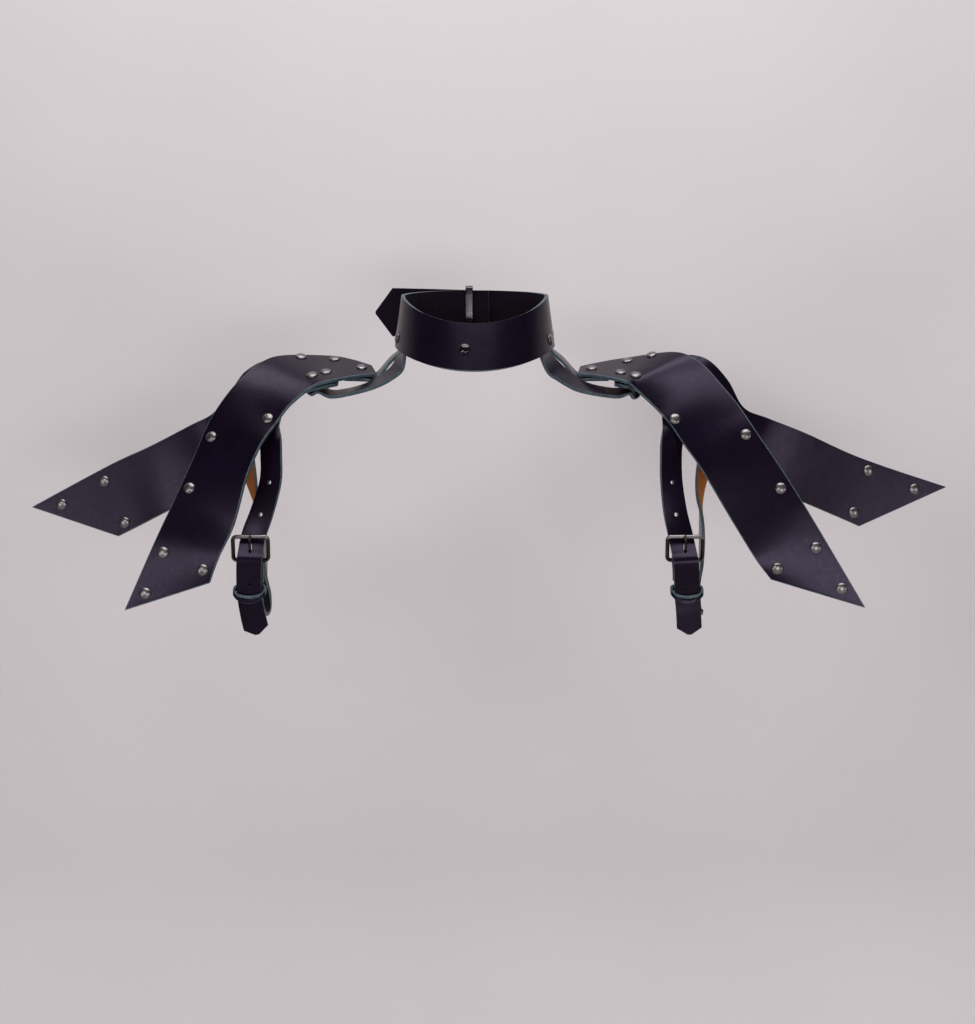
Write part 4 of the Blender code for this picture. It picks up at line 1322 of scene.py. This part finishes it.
def sag(x, y):
    """How far the keeper's front hangs down in its middle."""
    return KEEPER_SAG * max(-y / SAG_FRONT, 0.0) * max(1.0 - (x / SAG_HALF_WIDTH) ** 2, 0.0)


def on_strap(x, y, height):
    """A keeper's point, leaning and sagging around the strap's middle."""
    return keeper_middle + Vector((x, y, height + KEEPER_LEAN * y - sag(x, y)))


def behind_neck(x, y, height):
    """A point of the back loop, which stands on end."""
    return CLASP_MIDDLE + Vector((height, y, x))


for side in SIDES:
    keeper_middle = Vector((strap_middle(side, KEEPER_Z), KEEPER_Y, KEEPER_Z))
    pieces["keeper_" + side] = band_loop(
        "loop_keeper_" + side, on_strap, (GRAIN, EDGE, BLACK_FLESH), **KEEPER_SIZES)
pieces["collar_clasp"] = band_loop("back_loop", behind_neck, (ENAMEL_AND_DARK_REFLECTION,), **CLASP_SIZES)
print("loops:", *(f"{name} {len(pieces[name].data.polygons)} faces |" for name in (
    "keeper_right", "keeper_left", "collar_clasp")))

# %% [markdown]
# ## Hand the pieces to the frame
# Every piece hides the solid that it stands for, and rides on the one body.

# %% Ride and replace
for name, obj in pieces.items():
    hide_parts(*rivet_nodes.get(name, [name]))
    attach(obj, "root")
print("pieces:", len(pieces))

# %% [markdown]
# ## Floor and backdrop
# A pale floor runs up into a pale backdrop in one sweep, so no line shows between them. Both
# are matt paint. These sizes are in metres.

# %% Backdrop
FLOOR_Z = -0.95
FLOOR_FRONT = -3.0
BACKDROP_Y = 0.5
BACKDROP_TOP = 2.5
BACKDROP_HALF_WIDTH = 3.0
SWEEP = 0.4
SWEEP_STEPS = 12


def make_backdrop():
    profile = [(FLOOR_FRONT, FLOOR_Z)]
    for step in range(SWEEP_STEPS + 1):
        turn = math.radians(90 * step / SWEEP_STEPS)
        y = BACKDROP_Y - SWEEP + SWEEP * math.sin(turn)
        z = FLOOR_Z + SWEEP - SWEEP * math.cos(turn)
        profile.append((y, z))
    profile.append((BACKDROP_Y, BACKDROP_TOP))
    mesh = bpy.data.meshes.new("backdrop")
    points = [(x, y, z) for y, z in profile for x in (-BACKDROP_HALF_WIDTH, BACKDROP_HALF_WIDTH)]
    faces = [(2 * i, 2 * i + 1, 2 * i + 3, 2 * i + 2) for i in range(len(profile) - 1)]
    mesh.from_pydata(points, [], faces)
    for face in mesh.polygons:
        face.use_smooth = True
    material, tree, output = empty_material("matt pale paint")
    place = add_node(tree, "ShaderNodeTexCoord").outputs["Object"]
    grainy = add_node(tree, "ShaderNodeTexNoise", {}, {"Vector": place, "Scale": 3.0})
    colour = two_tones(tree, grainy.outputs["Fac"], "#CFC9CB", "#D3CDCF")
    shader = add_node(tree, "ShaderNodeBsdfPrincipled", {}, {
        "Base Color": colour, "Roughness": 0.9})
    tree.links.new(shader.outputs["BSDF"], output.inputs["Surface"])
    return new_object("backdrop", mesh, material)


make_backdrop()
print("backdrop", BACKDROP_Y, "m behind the harness, floor", -FLOOR_Z, "m below")

# %% [markdown]
# ## Light
# One wide lamp hangs above the harness and one lights the backdrop. The low ones in front stand
# where the hanging tips mirror them, which gives the black leather its sheen.

# %% Lamps
ROOM_LIGHT = 0.1
# Columns: name, place, point that it faces, width and height (all in metres), power in watts.
LAMPS = (
    ("ceiling lamp", (0.0, -0.85, 1.6), (0.0, 0.0, -0.05), (1.4, 0.5), 16),
    ("right tip lamp", (0.25, -2.6, -0.16), (0.25, 0.0, -0.17), (0.7, 0.24), 12),
    ("left tip lamp", (-1.3, -2.6, 0.62), (-0.2, 0.0, -0.17), (0.7, 0.4), 11),
    ("low side lamp", (-2.3, -2.2, -0.28), (0.0, 0.0, -0.1), (0.7, 0.5), 10),
    ("low side lamp", (2.3, -2.2, -0.28), (0.0, 0.0, -0.1), (0.7, 0.5), 10),
    ("backdrop lamp", (0.3, -0.1, 1.9), (0.3, BACKDROP_Y, 0.2), (2.8, 0.4), 30),
)


def soft_lamp(name, place, aim, size, power):
    lamp = bpy.data.lights.new(name, "AREA")
    lamp.shape = "RECTANGLE"
    lamp.size, lamp.size_y = size
    lamp.energy = power
    obj = bpy.data.objects.new(name, lamp)
    obj.location = place
    obj.rotation_euler = (Vector(aim) - Vector(place)).to_track_quat("-Z", "Y").to_euler()
    bpy.context.scene.collection.objects.link(obj)


for row in LAMPS:
    soft_lamp(*row)
world = bpy.data.worlds.new("soft room")
world.use_nodes = True
background = world.node_tree.nodes["Background"]
background.inputs["Color"].default_value = from_hex("#EFEAF0")
background.inputs["Strength"].default_value = ROOM_LIGHT
bpy.context.scene.world = world
bpy.context.scene.view_settings.view_transform = "Standard"
print("lamps:", len(LAMPS))
